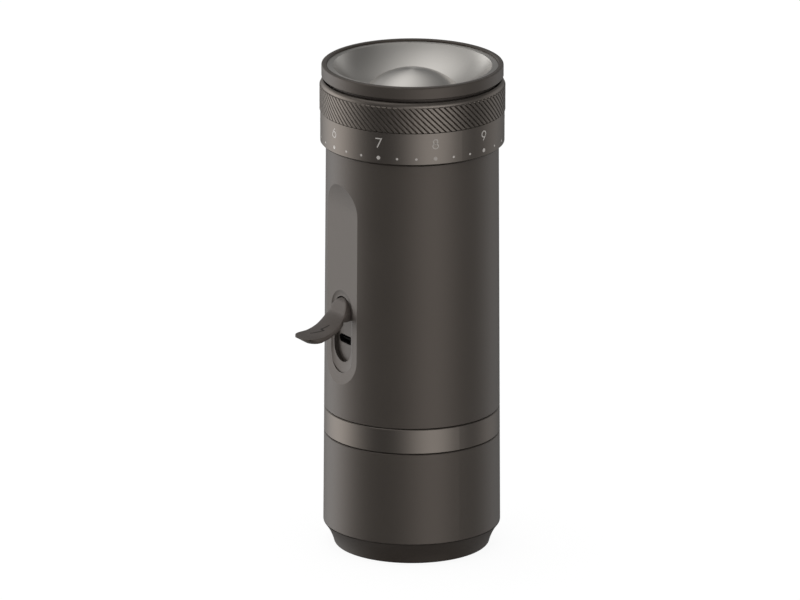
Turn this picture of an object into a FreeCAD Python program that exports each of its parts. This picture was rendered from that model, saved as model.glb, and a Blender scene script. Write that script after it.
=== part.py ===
"""Cordless coffee grinder: a tapered metal body, a numbered grind ring, a lift-off lid and a pull-off cup.

Millimetres, +Z up. The origin is the middle of the foot's underside. The charging panel faces -Y and the
power button faces +Y. Grind setting 1 stands at +Y and the numbers rise anticlockwise seen from above.
"""
import FreeCAD, Part
import math
import os

V = FreeCAD.Vector
UP = V(0, 0, 1)
CENTRE = V(0, 0, 0)

# Heights of the outside, from the foot up
FOOT_TOP = 8.7
CUP_TOP = 44.3
BAND_LOW = 44.5
BAND_TOP = 54.1
BODY_LOW = 54.3
BODY_TOP = 157.3
RING_LOW = 157.6
GRIP_LOW = 170.5
KNURL_TOP = 179.95
RING_TOP = 182.0
LID_LOW = 183.3
LID_TOP = 188.0
BREAK = 0.3

# Radii of the outside
FOOT_R = 28.4
SHELL_R_LOW = 33.5
SHELL_R_TOP = 32.5
RING_R = 34.62
GRIP_R = 34.9
GRIP_BORE_R = 33.25
LID_R = 34.19

# Foot, cup and band
FOOT_FLOOR = 3.0
BOSS_R = 25.9
CUP_FLOOR = 5.5
CUP_INSIDE_R = 30.9
CUP_MOUTH_R = 28.6
CUP_NECK_R = 30.4
CUP_NECK_TOP = 49.8
SEAL_R = 29.3
SEAL_LOW = 46.4
SEAL_TOP = 48.4
LEDGE_R = 25.9
LEDGE_LOW = 52.0
COLLAR_R = 28.65
COLLAR_TOP = 58.0
BASE_TOP = 57.0
BASE_SCREW_ORBIT = 26.9
BASE_SCREW_R = 0.9
BASE_SCREW_TOP = 56.8
SCREW_ANGLES = (60.0, 180.0, 300.0)

# Body tube, its neck and what slides in it
BORE_R = 30.0
NECK_R = 31.0
NECK_BORE_R = 28.5
NECK_TOP = 181.5
SHOULDER_LOW = 150.0
FIT = 0.05
INSIDE = 20.0
OUTSIDE = 40.0

# Charging panel on the -Y side: a flat floor that leans with the taper and sweeps up at its round ends
PANEL_HALF = 10.5
PANEL_LOW = 67.7
PANEL_TOP = 145.1
PANEL_DEPTH = 31.29
PANEL_RAMP = 7.0
PANEL_MID = (PANEL_LOW + PANEL_TOP) / 2
PANEL_LEAN = math.degrees(math.atan((SHELL_R_LOW - SHELL_R_TOP) / (BODY_TOP - FOOT_TOP)))
BASIN_HALF = 8.2
BASIN_LOW = 72.0
BASIN_TOP = 103.7
BASIN_SINK = 0.55
WELL_HALF = 5.8
WELL_LOW = 75.9
WELL_TOP = 101.5
WELL_FLOOR = 29.3
INSERT_WALL = 0.8
INSERT_BACK = 27.7
PORT_Z = 84.4
PORT_WIDTH = 8.94
PORT_HEIGHT = 3.2
PORT_BOARD_HALF = 6.5
PORT_BOARD_BACK = -15.6

# Rubber flap, drawn open
FLAP_ROOT_HALF = 5.2
FLAP_HALF = 5.6
FLAP_TOP = 100.9
FLAP_TIP = 50.3
FLAP_BACK = WELL_FLOOR + 0.15
PEG_Z = FLAP_TOP - 3.4
PEG_R = 1.5

# Lid: the dish in spun sheet, a bowl arc and a dome arc given by their centres, and the plug under it
BOWL_R = 26.0
BOWL_CENTRE = (8.66, 202.21)
DOME_R = 24.7
DOME_CENTRE = 161.0
SHEET = 0.9
PLUG_R = 26.4
PLUG_GROOVE_R = 25.3
PLUG_GROOVE_LOW = 178.3
PLUG_GROOVE_TOP = 180.1

# Grinding chamber and burrs
CHAMBER_LOW = 113.8
CHAMBER_FLOOR = 117.0
CARRIER_R = 28.2
CARRIER_LOW = 121.0
CARRIER_TOP = 163.0
OUTER_BURR_TOP = 136.0
OUTER_BURR_R = 22.5
INNER_BURR_LOW = 119.8
INNER_BURR_MID = 130.0
INNER_BURR_TOP = 142.0
INNER_BURR_R_LOW = 17.0
INNER_BURR_R_TOP = 8.0
BURR_GAP = 0.4
KEY_ANGLES = (90.0, 210.0, 330.0)
KEY_R = 26.2
KEY_REACH = 32.8
KEY_HALF = 3.0
KEY_LOW = 159.0
CLICK_ANGLE = 156.0
CLICK_R = 29.6
CLICK_LOW = 167.0
CLICK_TOP = 178.2
CLICK_HALF = 2.5
SHAFT_FLATS = 7.0
SHAFT_R = 3.98
SHAFT_SEAL_R = 5.15
NUT_LOW = 142.0
NUT_TOP = 145.0
STUD_R = 2.4
STUD_TOP = 147.0
PADDLE_LOW = 117.4
PADDLE_TOP = 119.5

# Coffee chute on the +X side, an oblong tube from the chamber to the cup
CHUTE_X = 20.4
CHUTE_HALF = 3.6
CHUTE_LONG = 7.6
CHUTE_WALL = 1.2
CHUTE_LOW = 50.6
CHUTE_TOP = 115.2

# Planetary gear train: 12 on the sun, 18 on each planet, 48 inside the ring
MODULE = 0.5
PRESSURE = math.radians(25.0)
SUN_TEETH = 12
PLANET_TEETH = 18
RING_TEETH = 48
PLANET_ORBIT = MODULE * (SUN_TEETH + PLANET_TEETH) / 2
PLANET_ANGLES = (0.0, 120.0, 240.0)
BACKLASH = 0.08
ADDENDUM = 0.9 * MODULE
DEDENDUM = 1.2 * MODULE
GEARBOX_R = 14.4
GEARBOX_LOW = 94.5
GEARBOX_TOP = 107.5
PLANET_LOW = 95.6
PLANET_TOP = 103.8
PIN_R = 1.25
CARRIER_DISC_LOW = 104.3
CARRIER_DISC_TOP = 107.3
BEARING_R = 8.0
BEARING_LOW = 108.6
BEARING_TOP = 113.4
BEARING_BORE_R = 4.0
RACE = 1.2
FLANGE_LOW = 111.0
GEARBOX_SCREW_ORBIT = 16.6
GEARBOX_SCREW_R = 1.0
GEARBOX_SCREW_TOP = 116.3

# Motor, cells and boards
MOTOR_R = 12.2
MOTOR_LOW = 61.5
MOTOR_TOP = 92.0
MOTOR_SHAFT_R = 1.15
MOTOR_WALL = 1.0
MOTOR_BOSS_R = 4.0
MOTOR_BOSS_TOP = 94.3
MOTOR_SCREW_X = 8.0
MOTOR_SCREW_R = 1.0
ARMATURE_R = 9.0
CELL_R = 7.05
CELL_LENGTH = 50.0
CELL_ORBIT = 21.9
CELL_ANGLES = (145.0, 184.0, 223.0)
CELL_LOW = 58.0
BOARD_THICK = 1.2
BOARD_Y = 22.0
BOARD_HALF = 12.0

# Power button on the +Y side
BUTTON_Z = 98.0
BUTTON_R = 6.8
LIGHT_RING_R = 8.1
BUTTON_HOLE_R = 8.15
BUTTON_BACK = 28.3
BUTTON_AXIS = V(0, 1, 0)

os.makedirs("parts", exist_ok=True)


def save(name, shape):
    """One piece, or one group of like pieces, to its own file."""
    shape.exportStep(f"parts/{name}.step")


def shell_radius(z):
    """Radius of the tapered outside at height z."""
    return SHELL_R_LOW - (z - FOOT_TOP) * (SHELL_R_LOW - SHELL_R_TOP) / (BODY_TOP - FOOT_TOP)


def polar(radius, degrees, z=0.0):
    angle = math.radians(degrees)
    return V(radius * math.cos(angle), radius * math.sin(angle), z)


def lathe(*steps):
    """Solid of revolution about Z. A step is a point (r, z), or a pair (middle, end) for an arc."""
    at = [V(p[0], 0, p[1]) for p in steps[:1]]
    edges = []
    for step in steps[1:] + steps[:1]:
        here = at[-1]
        if isinstance(step[0], tuple):
            middle, end = (V(p[0], 0, p[1]) for p in step)
            edges.append(Part.Arc(here, middle, end).toShape())
        else:
            end = V(step[0], 0, step[1])
            edges.append(Part.makeLine(here, end))
        at.append(end)
    return Part.Face(Part.Wire(edges)).revolve(CENTRE, UP, 360)


def rod(radius, z_low, z_top, x=0.0, y=0.0):
    return Part.makeCylinder(radius, z_top - z_low, V(x, y, z_low))


def tube(inner, outer, z_low, z_top):
    return rod(outer, z_low, z_top).cut(rod(inner, z_low - 1, z_top + 1))


def block(x_low, x_top, y_low, y_top, z_low, z_top):
    return Part.makeBox(x_top - x_low, y_top - y_low, z_top - z_low, V(x_low, y_low, z_low))


def turned(shape, degrees):
    """A copy turned about the main axis."""
    copy = shape.copy()
    copy.rotate(CENTRE, UP, degrees)
    return copy


def around(shape, angles):
    return [turned(shape, angle) for angle in angles]


def oblong(half, long_low, long_top, place):
    """Closed wire of a slot with round ends. place(across, along) gives each point in space."""
    low = long_low + half
    top = long_top - half
    edges = [
        Part.makeLine(place(half, low), place(half, top)),
        Part.Arc(place(half, top), place(0, long_top), place(-half, top)).toShape(),
        Part.makeLine(place(-half, top), place(-half, low)),
        Part.Arc(place(-half, low), place(0, long_low), place(half, low)).toShape(),
    ]
    return Part.Wire(edges)


def panel_oblong(half, z_low, z_top, depth):
    """Upright slot outline on the -Y side, at a distance from the axis."""
    return oblong(half, z_low, z_top, lambda across, along: V(across, -depth, along))


def panel_prism(half, z_low, z_top, deep, proud):
    """Upright slot-shaped prism on the -Y side, from one distance from the axis to another."""
    return Part.Face(panel_oblong(half, z_low, z_top, deep)).extrude(V(0, deep - proud, 0))


def lean(shape):
    """Tips a piece of the charging panel to the body's taper."""
    shape.rotate(V(0, -PANEL_DEPTH, PANEL_MID), V(1, 0, 0), -PANEL_LEAN)
    return shape


def chute_prism(wall, z_low, z_top):
    """The chute's oblong section, grown by a wall, between two heights."""
    half = CHUTE_HALF + wall
    reach = CHUTE_LONG + wall
    outline = oblong(half, -reach, reach, lambda across, along: V(CHUTE_X + across, along, z_low))
    return Part.Face(outline).extrude(V(0, 0, z_top - z_low))


def hexagon(flats, z_low, z_top):
    corners = [polar(flats / math.sqrt(3), 60 * side, z_low) for side in range(7)]
    return Part.Face(Part.makePolygon(corners)).extrude(V(0, 0, z_top - z_low))


def faceted_solid(rings):
    """Solid between stacked rings of points, with two flat triangles for each side and flat ends."""
    def flat(*corners):
        return Part.Face(Part.makePolygon(list(corners) + [corners[0]]))

    faces = [flat(*rings[0]), flat(*rings[-1])]
    for low, top in zip(rings, rings[1:]):
        for here in range(len(low)):
            after = (here + 1) % len(low)
            faces.append(flat(low[here], low[after], top[after]))
            faces.append(flat(low[here], top[after], top[here]))
    return Part.Solid(Part.Shell(faces))


def screw(shank_r, head_r, head_tall, z_low, z_top, x, y, head_below):
    """Socket-head screw along Z; its head is below or above the shank."""
    head_low = z_low if head_below else z_top - head_tall
    head = rod(head_r, head_low, head_low + head_tall, x, y)
    socket_low = z_low - 1 if head_below else z_top - head_tall / 2
    socket = hexagon(head_r, socket_low, socket_low + 1 + head_tall / 2)
    socket.translate(V(x, y, 0))
    return rod(shank_r, z_low, z_top, x, y).fuse(head).cut(socket).removeSplitter()


# Foot and cup
def foot():
    """Rubber shoe with a flared side, moulded round the cup's boss."""
    top = FOOT_TOP - FIT
    edge = ((29.15, 0.25), (29.5, 0.9))
    flare = ((30.95, 4.75), (33.42, top))
    recess = BOSS_R + 2 * FIT
    return lathe((0, 0), (FOOT_R, 0), edge, flare, (recess, top), (recess, FOOT_FLOOR), (0, FOOT_FLOOR))


def catch_cup():
    """Turned cup with a neck that plugs into the band and a groove for its seal."""
    rim = shell_radius(CUP_TOP)
    boss_low = FOOT_FLOOR + FIT
    boss = [(0, boss_low), (BOSS_R, boss_low), (BOSS_R, FOOT_TOP)]
    side = [(SHELL_R_LOW - BREAK, FOOT_TOP), (SHELL_R_LOW, FOOT_TOP + BREAK), (rim, CUP_TOP - BREAK),
            (rim - BREAK, CUP_TOP)]
    neck = [(CUP_NECK_R, CUP_TOP), (CUP_NECK_R, SEAL_LOW), (SEAL_R, SEAL_LOW), (SEAL_R, SEAL_TOP),
            (CUP_NECK_R, SEAL_TOP), (CUP_NECK_R - BREAK, CUP_NECK_TOP)]
    mouth_low = 41.0
    wall_top = 36.5
    wall_low = 13.0
    corner = ((28.8, 7.6), (23.5, CUP_FLOOR))
    inside = [(CUP_MOUTH_R, CUP_NECK_TOP), (CUP_MOUTH_R, mouth_low), (CUP_INSIDE_R, wall_top),
              (CUP_INSIDE_R, wall_low), corner, (0, CUP_FLOOR)]
    return lathe(*boss, *side, *neck, *inside)


def cup_seal():
    """Soft ring in the neck's groove, with a rounded crown."""
    inner = SEAL_R + FIT
    edge = CUP_NECK_R + 0.1
    crown = CUP_NECK_R + 0.5
    low = SEAL_LOW + 0.2
    top = SEAL_TOP - 0.2
    return lathe((inner, low), (edge, low), ((crown, (low + top) / 2), (edge, top)), (inner, top))


# Band and base plate
def band_ring():
    """Polished band with a collar that plugs into the body tube and a ledge for the base plate."""
    low = shell_radius(BAND_LOW)
    top = shell_radius(BAND_TOP)
    plug = BORE_R - FIT
    bore = CUP_NECK_R + 0.6
    ring = lathe((bore, BAND_LOW), (low - BREAK, BAND_LOW), (low, BAND_LOW + BREAK), (top, BAND_TOP - BREAK),
                 (top - BREAK, BAND_TOP), (plug, BAND_TOP), (plug, COLLAR_TOP), (COLLAR_R, COLLAR_TOP),
                 (COLLAR_R, BAND_TOP), (LEDGE_R, BAND_TOP), (LEDGE_R, LEDGE_LOW), (bore, LEDGE_LOW))
    hole = rod(BASE_SCREW_R + FIT, LEDGE_LOW - 1, BAND_TOP + 1, BASE_SCREW_ORBIT)
    return ring.cut(around(hole, SCREW_ANGLES))


def base_plate():
    """Floor of the motor bay, with the chute's hole and two slotted posts for the control board."""
    plate_low = BAND_TOP + FIT
    post_wide = 3.0
    post_front = BOARD_Y - 2.0
    post_back = BOARD_Y + 3.0
    post_top = BASE_TOP + 7.0
    inner = BOARD_HALF - post_wide
    plate = rod(COLLAR_R - FIT, plate_low, BASE_TOP)
    posts = [block(-BOARD_HALF, -inner, post_front, post_back, BASE_TOP, post_top),
             block(inner, BOARD_HALF, post_front, post_back, BASE_TOP, post_top)]
    slot = block(-BOARD_HALF - 1, BOARD_HALF + 1, BOARD_Y - FIT, BOARD_Y + BOARD_THICK + FIT, BASE_TOP + 2.0,
                 post_top + 1)
    way = chute_prism(CHUTE_WALL + FIT, plate_low - 1, BASE_TOP + 1)
    hole = rod(BASE_SCREW_R + FIT, plate_low - 1, BASE_SCREW_TOP + 0.1, BASE_SCREW_ORBIT)
    return plate.fuse(posts).cut([slot, way] + around(hole, SCREW_ANGLES)).removeSplitter()


def base_screws():
    head_r = 1.7
    head_tall = 1.3
    low = LEDGE_LOW - FIT - head_tall
    one = screw(BASE_SCREW_R, head_r, head_tall, low, BASE_SCREW_TOP, BASE_SCREW_ORBIT, 0, True)
    return Part.makeCompound(around(one, SCREW_ANGLES))


# Body tube
def panel_outline(rise, depth):
    """Outline of the panel at a distance from the axis; its ends are half ellipses of a given height."""
    steps = 12
    low = PANEL_LOW + PANEL_HALF
    top = PANEL_TOP - PANEL_HALF

    def end(middle, side):
        angles = [math.pi * step / steps for step in range(steps + 1)]
        points = [V(side * PANEL_HALF * math.cos(angle), -depth, middle + side * rise * math.sin(angle))
                  for angle in angles]
        curve = Part.BSplineCurve()
        curve.interpolate(points)
        return curve.toShape()

    right = Part.makeLine(V(PANEL_HALF, -depth, low), V(PANEL_HALF, -depth, top))
    left = Part.makeLine(V(-PANEL_HALF, -depth, top), V(-PANEL_HALF, -depth, low))
    return Part.Wire([right, end(top, 1), left, end(low, -1)])


def panel_scoop():
    """What the panel takes from the tube: a flat floor whose round ends sweep up to the outside and beyond."""
    sink = shell_radius(PANEL_MID) - PANEL_DEPTH
    outlines = []
    for share in (0.0, 0.35, 0.7, 1.0, 1.3):
        outlines.append(panel_outline(PANEL_HALF - PANEL_RAMP * (1 - share), PANEL_DEPTH + sink * share ** 2))
    return Part.makeLoft(outlines, True, False)


def basin():
    """Shallow hollow round the charging well that sweeps up to its outer edge."""
    grow = INSERT_WALL + 2 * FIT
    outlines = []
    for share in (0.0, 0.35, 0.7, 1.0):
        half = WELL_HALF + grow + share * (BASIN_HALF - WELL_HALF - grow)
        low = WELL_LOW - grow + share * (BASIN_LOW - WELL_LOW + grow)
        top = WELL_TOP + grow + share * (BASIN_TOP - WELL_TOP - grow)
        sink = BASIN_SINK * (1 - share ** 2) - 0.01 * share
        outlines.append(panel_oblong(half, low, top, PANEL_DEPTH - sink))
    return Part.makeLoft(outlines, True, False)


def body_shell():
    """Tapered tube with a threaded neck, cut for the panel, the charging well, the button and the feed keys."""
    low = shell_radius(BODY_LOW)
    shell = lathe((BORE_R, BODY_LOW), (low - BREAK, BODY_LOW), (low, BODY_LOW + BREAK),
                  (SHELL_R_TOP, BODY_TOP - BREAK), (SHELL_R_TOP - BREAK, BODY_TOP), (NECK_R, BODY_TOP),
                  (NECK_R, NECK_TOP - BREAK), (NECK_R - BREAK, NECK_TOP), (NECK_BORE_R, NECK_TOP),
                  (NECK_BORE_R, SHOULDER_LOW), (BORE_R, SHOULDER_LOW))
    grow = INSERT_WALL + FIT
    well = panel_prism(WELL_HALF + grow, WELL_LOW - grow, WELL_TOP + grow, INSIDE, OUTSIDE)
    button = Part.makeCylinder(BUTTON_HOLE_R, OUTSIDE - INSIDE, V(0, INSIDE, BUTTON_Z), BUTTON_AXIS)
    slot_half = KEY_HALF + 0.1
    slot = block(INSIDE, NECK_R + 1, -slot_half, slot_half, KEY_LOW - 1.2, CARRIER_TOP + 3.0)
    seat_half = CLICK_HALF + 0.2
    seat = block(CLICK_R - 0.1, NECK_R + 1, -seat_half, seat_half, CLICK_LOW - 0.2, CLICK_TOP + 0.2)
    cuts = [lean(panel_scoop()), lean(basin()), lean(well), button, turned(seat, CLICK_ANGLE)]
    return shell.cut(cuts + around(slot, KEY_ANGLES))


# Charging port
def port_insert():
    """Moulded tub that closes the well, with a flange inside the bore and a shelf for the charging board."""
    outer = WELL_HALF + INSERT_WALL
    face = PANEL_DEPTH - BASIN_SINK
    spread = 2.5
    flange_reach = 3.0
    flange_front = INSERT_BACK + 0.9
    shelf_half = PORT_BOARD_HALF + 0.3
    shelf_top = PORT_Z - 3.0
    shelf_thick = 1.6
    tub = panel_prism(outer, WELL_LOW - INSERT_WALL, WELL_TOP + INSERT_WALL, INSERT_BACK, face)
    flange = panel_prism(WELL_HALF + spread, WELL_LOW - flange_reach, WELL_TOP + flange_reach, INSERT_BACK,
                         flange_front)
    shelf = block(-shelf_half, shelf_half, -INSERT_BACK - 0.3, PORT_BOARD_BACK + 0.1, shelf_top - shelf_thick,
                  shelf_top)
    well = panel_prism(WELL_HALF, WELL_LOW, WELL_TOP, WELL_FLOOR, OUTSIDE)
    mouth = socket_prism(PORT_WIDTH + 2 * FIT, PORT_HEIGHT + 2 * FIT, OUTSIDE, INSIDE)
    peg = Part.makeCylinder(PEG_R + 2 * FIT, OUTSIDE - INSIDE, V(0, -OUTSIDE, PEG_Z), V(0, 1, 0))
    return lean(tub.fuse([flange, shelf]).cut([well, mouth, peg]).removeSplitter())


def socket_prism(width, height, front, back):
    """Flat oblong prism along Y, centred on the port."""
    half = height / 2
    outline = oblong(half, -width / 2, width / 2, lambda across, along: V(along, -front, PORT_Z + across))
    return Part.Face(outline).extrude(V(0, front - back, 0))


def charging_socket():
    """Drawn shell with a contact tongue, standing on the charging board."""
    wall = 0.3
    front = WELL_FLOOR - 0.2
    back = front - 7.3
    tongue_half = 3.3
    tongue_low = PORT_Z - 0.35
    tongue_top = PORT_Z + 0.35
    shell = socket_prism(PORT_WIDTH, PORT_HEIGHT, front, back)
    mouth = socket_prism(PORT_WIDTH - 2 * wall, PORT_HEIGHT - 2 * wall, front + 1, back + 1)
    tongue = block(-tongue_half, tongue_half, 0.8 - front, -back, tongue_low, tongue_top)
    return lean(shell.cut(mouth).fuse(tongue).removeSplitter())


def charging_board():
    """Small board under the socket, with its charging chip and coil."""
    top = PORT_Z - PORT_HEIGHT / 2 - FIT
    front = 0.2 - INSERT_BACK
    board = block(-PORT_BOARD_HALF, PORT_BOARD_HALF, front, PORT_BOARD_BACK, top - BOARD_THICK, top)
    chip = block(-5.5, -2.0, -20.5, -17.0, top, top + 1.0)
    coil = block(1.0, 5.0, -20.0, -17.5, top, top + 1.4)
    return lean(board.fuse([chip, coil]).removeSplitter())


def port_flap():
    """Rubber flap bent open: a root in the well, a tongue with a finger lip, a pad and an anchor peg."""
    def at(away, z):
        return V(0, -away, z)

    def sweep(*points):
        curve = Part.BSplineCurve()
        curve.interpolate([at(*point) for point in points])
        return curve.toShape()

    def lines(*points):
        return [Part.makeLine(at(*here), at(*after)) for here, after in zip(points, points[1:])]

    crown = (31.3, FLAP_TOP)
    lip_top = (50.0, 88.5)
    lip_low = (49.9, 87.4)
    pad_tip = (47.2, 86.5)
    pad_end = (34.4, 91.8)
    face = sweep(crown, (32.1, 99.8), (32.45, 98.4), (32.95, 97.0), (33.9, 95.3), (35.7, 93.4), (37.9, 91.8),
                 (41.0, 90.2), (44.5, 89.2), lip_top)
    nose = Part.Arc(at(*lip_top), at(FLAP_TIP, 87.95), at(*lip_low)).toShape()
    pad = sweep(pad_tip, (43.9, 86.9), (40.1, 88.05), (36.6, 89.95), pad_end)
    groove = [pad_end, (34.0, 93.1), (32.7, 92.9)]
    root = [(FLAP_BACK, 93.4), (FLAP_BACK, FLAP_TOP), crown]
    edges = [face, nose] + lines(lip_low, (47.7, 87.6), pad_tip) + [pad] + lines(*groove, *root)
    side = Part.Face(Part.Wire(edges))
    side.translate(V(-FLAP_HALF, 0, 0))
    strap = side.extrude(V(2 * FLAP_HALF, 0, 0))
    below = 80.0
    wide_top = 94.0
    reach = FLAP_TIP + 10.0
    narrow = panel_prism(FLAP_ROOT_HALF, below, FLAP_TOP, INSIDE, reach)
    wide = block(-FLAP_HALF, FLAP_HALF, -reach, -INSIDE, below, wide_top)
    plan = oblong(FLAP_HALF, -FLAP_TIP, 0.0, lambda across, along: V(across, along, below))
    round_tip = Part.Face(plan).extrude(V(0, 0, FLAP_TOP + 1 - below))
    peg = Part.makeCylinder(PEG_R, FLAP_BACK + 0.5 - INSERT_BACK, V(0, -FLAP_BACK - 0.3, PEG_Z), V(0, 1, 0))
    barb_wide = 0.8
    barb_long = 1.6
    barb = Part.makeCone(PEG_R + barb_wide, PEG_R, barb_long, V(0, 0.15 - INSERT_BACK, PEG_Z), V(0, 1, 0))
    tongue = strap.common(narrow.fuse(wide)).common(round_tip)
    return lean(tongue.fuse([peg, barb]).removeSplitter())


# Grind ring
def adjusting_ring():
    """Numbered ring on the neck, with a groove that carries the feed keys and thirty click notches."""
    bore = NECK_R + 0.15
    bevel = 0.7
    seat = GRIP_BORE_R - FIT
    top = RING_TOP - 1.7
    groove = 33.0
    groove_low = KEY_LOW - 0.2
    groove_top = CARRIER_TOP + 0.2
    notch_r = 0.8
    ring = lathe((bore, RING_LOW), (RING_R - bevel, RING_LOW), (RING_R, RING_LOW + bevel),
                 (RING_R, GRIP_LOW - BREAK), (RING_R - BREAK, GRIP_LOW), (seat, GRIP_LOW), (seat, top),
                 (bore, top), (bore, groove_top), (groove, groove_top), (groove, groove_low), (bore, groove_low))
    notch = rod(notch_r, CLICK_LOW - 1.5, top + 1, bore)
    return ring.cut(around(notch, range(0, 360, 12)))


def fluted_ring(count, crest, root, land, z, twist):
    """Points of straight-sided flutes at height z: a land at the crest, then one groove vertex."""
    pitch = 360.0 / count
    points = []
    for flute in range(count):
        start = twist + flute * pitch
        points.append(polar(crest, start, z))
        points.append(polar(crest, start + land * pitch, z))
        points.append(polar(root, start + (1 + land) / 2 * pitch, z))
    return points


def grip_band():
    """Pressed-on sleeve with a hundred slanting grooves, bevelled lands and a rounded top shoulder."""
    grooves = 100
    depth = 0.34
    land = 0.6
    levels = 4
    root = GRIP_R - depth
    bevel_top = KNURL_TOP + depth
    knurl_low = GRIP_LOW + FIT
    rise = KNURL_TOP - knurl_low
    slant = math.degrees(1 / GRIP_R)
    rings = []
    for level in range(levels):
        climb = rise * level / (levels - 1)
        rings.append(fluted_ring(grooves, GRIP_R, root, land, knurl_low + climb, -climb * slant))
    rings.append(fluted_ring(grooves, root, root, land, bevel_top, -(rise + depth) * slant))
    shoulder = ((34.25, 181.3), (33.6, RING_TOP))
    top = lathe((GRIP_BORE_R, bevel_top), (root - 0.01, bevel_top), shoulder, (GRIP_BORE_R, RING_TOP))
    return faceted_solid(rings).cut(rod(GRIP_BORE_R, GRIP_LOW - 1, RING_TOP + 1)).fuse(top)


def click_spring():
    """Leaf on the neck whose rib drops into the ring's notches."""
    leaf_back = CLICK_R + 0.35
    nose_r = 0.6
    nose_low = 170.5
    nose_top = 175.0
    leaf = block(CLICK_R, leaf_back, -CLICK_HALF, CLICK_HALF, CLICK_LOW, CLICK_TOP)
    rib = block(leaf_back, NECK_R, -nose_r, nose_r, nose_low, nose_top)
    nose = rod(nose_r, nose_low, nose_top, NECK_R)
    return turned(leaf.fuse([rib, nose]).removeSplitter(), CLICK_ANGLE)


# Hopper and lid
def hopper():
    """Bean funnel that hangs by its flange from the neck's top edge."""
    flange_r = 32.6
    flange_low = NECK_TOP + FIT
    flange_top = 183.0
    wall = 28.3
    inside = 26.9
    outer_cone = [(wall, 167.5), (25.3, 163.5), (16.0, 146.0), (15.0, 141.2)]
    inner_cone = [(13.8, 141.2), (14.8, 146.4), (24.1, 164.0), (inside, 168.5)]
    return lathe((29.2, flange_top), (flange_r, flange_top), (flange_r, flange_low), (wall, flange_low),
                 *outer_cone, *inner_cone, (inside, 180.6))


def lid_rim():
    inner = 32.2
    round_over = 0.6
    flat = LID_R - round_over
    crown = ((LID_R - 0.3 * round_over, LID_TOP - 0.3 * round_over), (flat, LID_TOP))
    return lathe((inner, LID_LOW), (LID_R - BREAK, LID_LOW), (LID_R, LID_LOW + BREAK),
                 (LID_R, LID_TOP - round_over), crown, (inner + BREAK, LID_TOP), (inner, LID_TOP - BREAK))


def bowl_point(radius, degrees):
    """Point (r, z) on an arc about the centre of the dish's bowl."""
    angle = math.radians(degrees)
    return (BOWL_CENTRE[0] + radius * math.cos(angle), BOWL_CENTRE[1] + radius * math.sin(angle))


def dome_point(radius, out):
    """Point (r, z) on an arc about the centre of the dish's dome."""
    return (out, DOME_CENTRE + math.sqrt(radius ** 2 - out ** 2))


def lid_dish():
    """Spun steel dish: a lip, a bowl that falls to a round valley, and a dome that rises in the middle."""
    under = DOME_R - SHEET
    thick = BOWL_R + SHEET
    lip_r = 32.1
    lip_top = 187.2
    lip_low = 186.2
    dome = (dome_point(DOME_R, 9.0), bowl_point(BOWL_R, -68.95))
    bowl = (bowl_point(BOWL_R, -52.0), bowl_point(BOWL_R, -36.3))
    bowl_under = (bowl_point(thick, -54.0), bowl_point(thick, -69.5))
    dome_under = (dome_point(under, 9.0), (0, DOME_CENTRE + under))
    return lathe((0, DOME_CENTRE + DOME_R), dome, bowl, (29.9, lip_top), (lip_r, lip_top), (lip_r, lip_low),
                 (31.2, lip_low), bowl_point(thick, -38.0), bowl_under, dome_point(under, 17.2), dome_under)


def lid_plug():
    """Moulded plug under the dish: a closed bottom, a seal groove and a flange that rests on the hopper."""
    clear = BOWL_R + SHEET + 0.2
    low = 175.3
    floor = 176.4
    rest = 183.05
    top = 186.15
    flange = 32.15
    groove = [(PLUG_R, PLUG_GROOVE_LOW), (PLUG_GROOVE_R, PLUG_GROOVE_LOW), (PLUG_GROOVE_R, PLUG_GROOVE_TOP),
              (PLUG_R, PLUG_GROOVE_TOP)]
    cradle = (bowl_point(clear, -52.0), bowl_point(clear, -66.0))
    collar = [(PLUG_R, PLUG_GROOVE_TOP + 0.3), (28.9, rest), (flange, rest), (flange, top), (31.25, top)]
    return lathe((0, low), (PLUG_R, low), *groove, *collar, bowl_point(clear, -38.0), cradle, (18.6, floor),
                 (0, floor))


def lid_seal():
    return tube(PLUG_GROOVE_R + FIT, PLUG_R + 0.4, PLUG_GROOVE_LOW + 0.1, PLUG_GROOVE_TOP - 0.1)


# Burrs and the pieces that feed them
def burr_housing():
    """Cup round the burrs with the outlet to the chute and holes for the gearbox screws."""
    fillet = 1.5
    outer = BORE_R - FIT
    top = SHOULDER_LOW - FIT
    corner = ((28.06, 117.44), (NECK_BORE_R - fillet, CHAMBER_FLOOR))
    cup = lathe((0, CHAMBER_LOW), (outer, CHAMBER_LOW), (outer, top), (NECK_BORE_R, top),
                (NECK_BORE_R, CHAMBER_FLOOR + fillet), corner, (0, CHAMBER_FLOOR))
    below = CHAMBER_LOW - 1
    above = CHAMBER_FLOOR + 1
    hole = rod(GEARBOX_SCREW_R + FIT, below, GEARBOX_SCREW_TOP + 0.2, GEARBOX_SCREW_ORBIT)
    cuts = [rod(SHAFT_SEAL_R + FIT, below, above), chute_prism(0.0, below, above),
            chute_prism(CHUTE_WALL + FIT, below, CHUTE_TOP + 0.1)]
    return cup.cut(cuts + around(hole, SCREW_ANGLES))


def shaft_seal():
    return tube(SHAFT_R + FIT, SHAFT_SEAL_R, CHAMBER_LOW + 0.2, CHAMBER_FLOOR - 0.2)


def chute():
    """Oblong tube that drops the grounds from the chamber floor through the base plate."""
    return chute_prism(CHUTE_WALL, CHUTE_LOW, CHUTE_TOP).cut(chute_prism(0.0, CHUTE_LOW - 1, CHUTE_TOP + 1))


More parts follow.
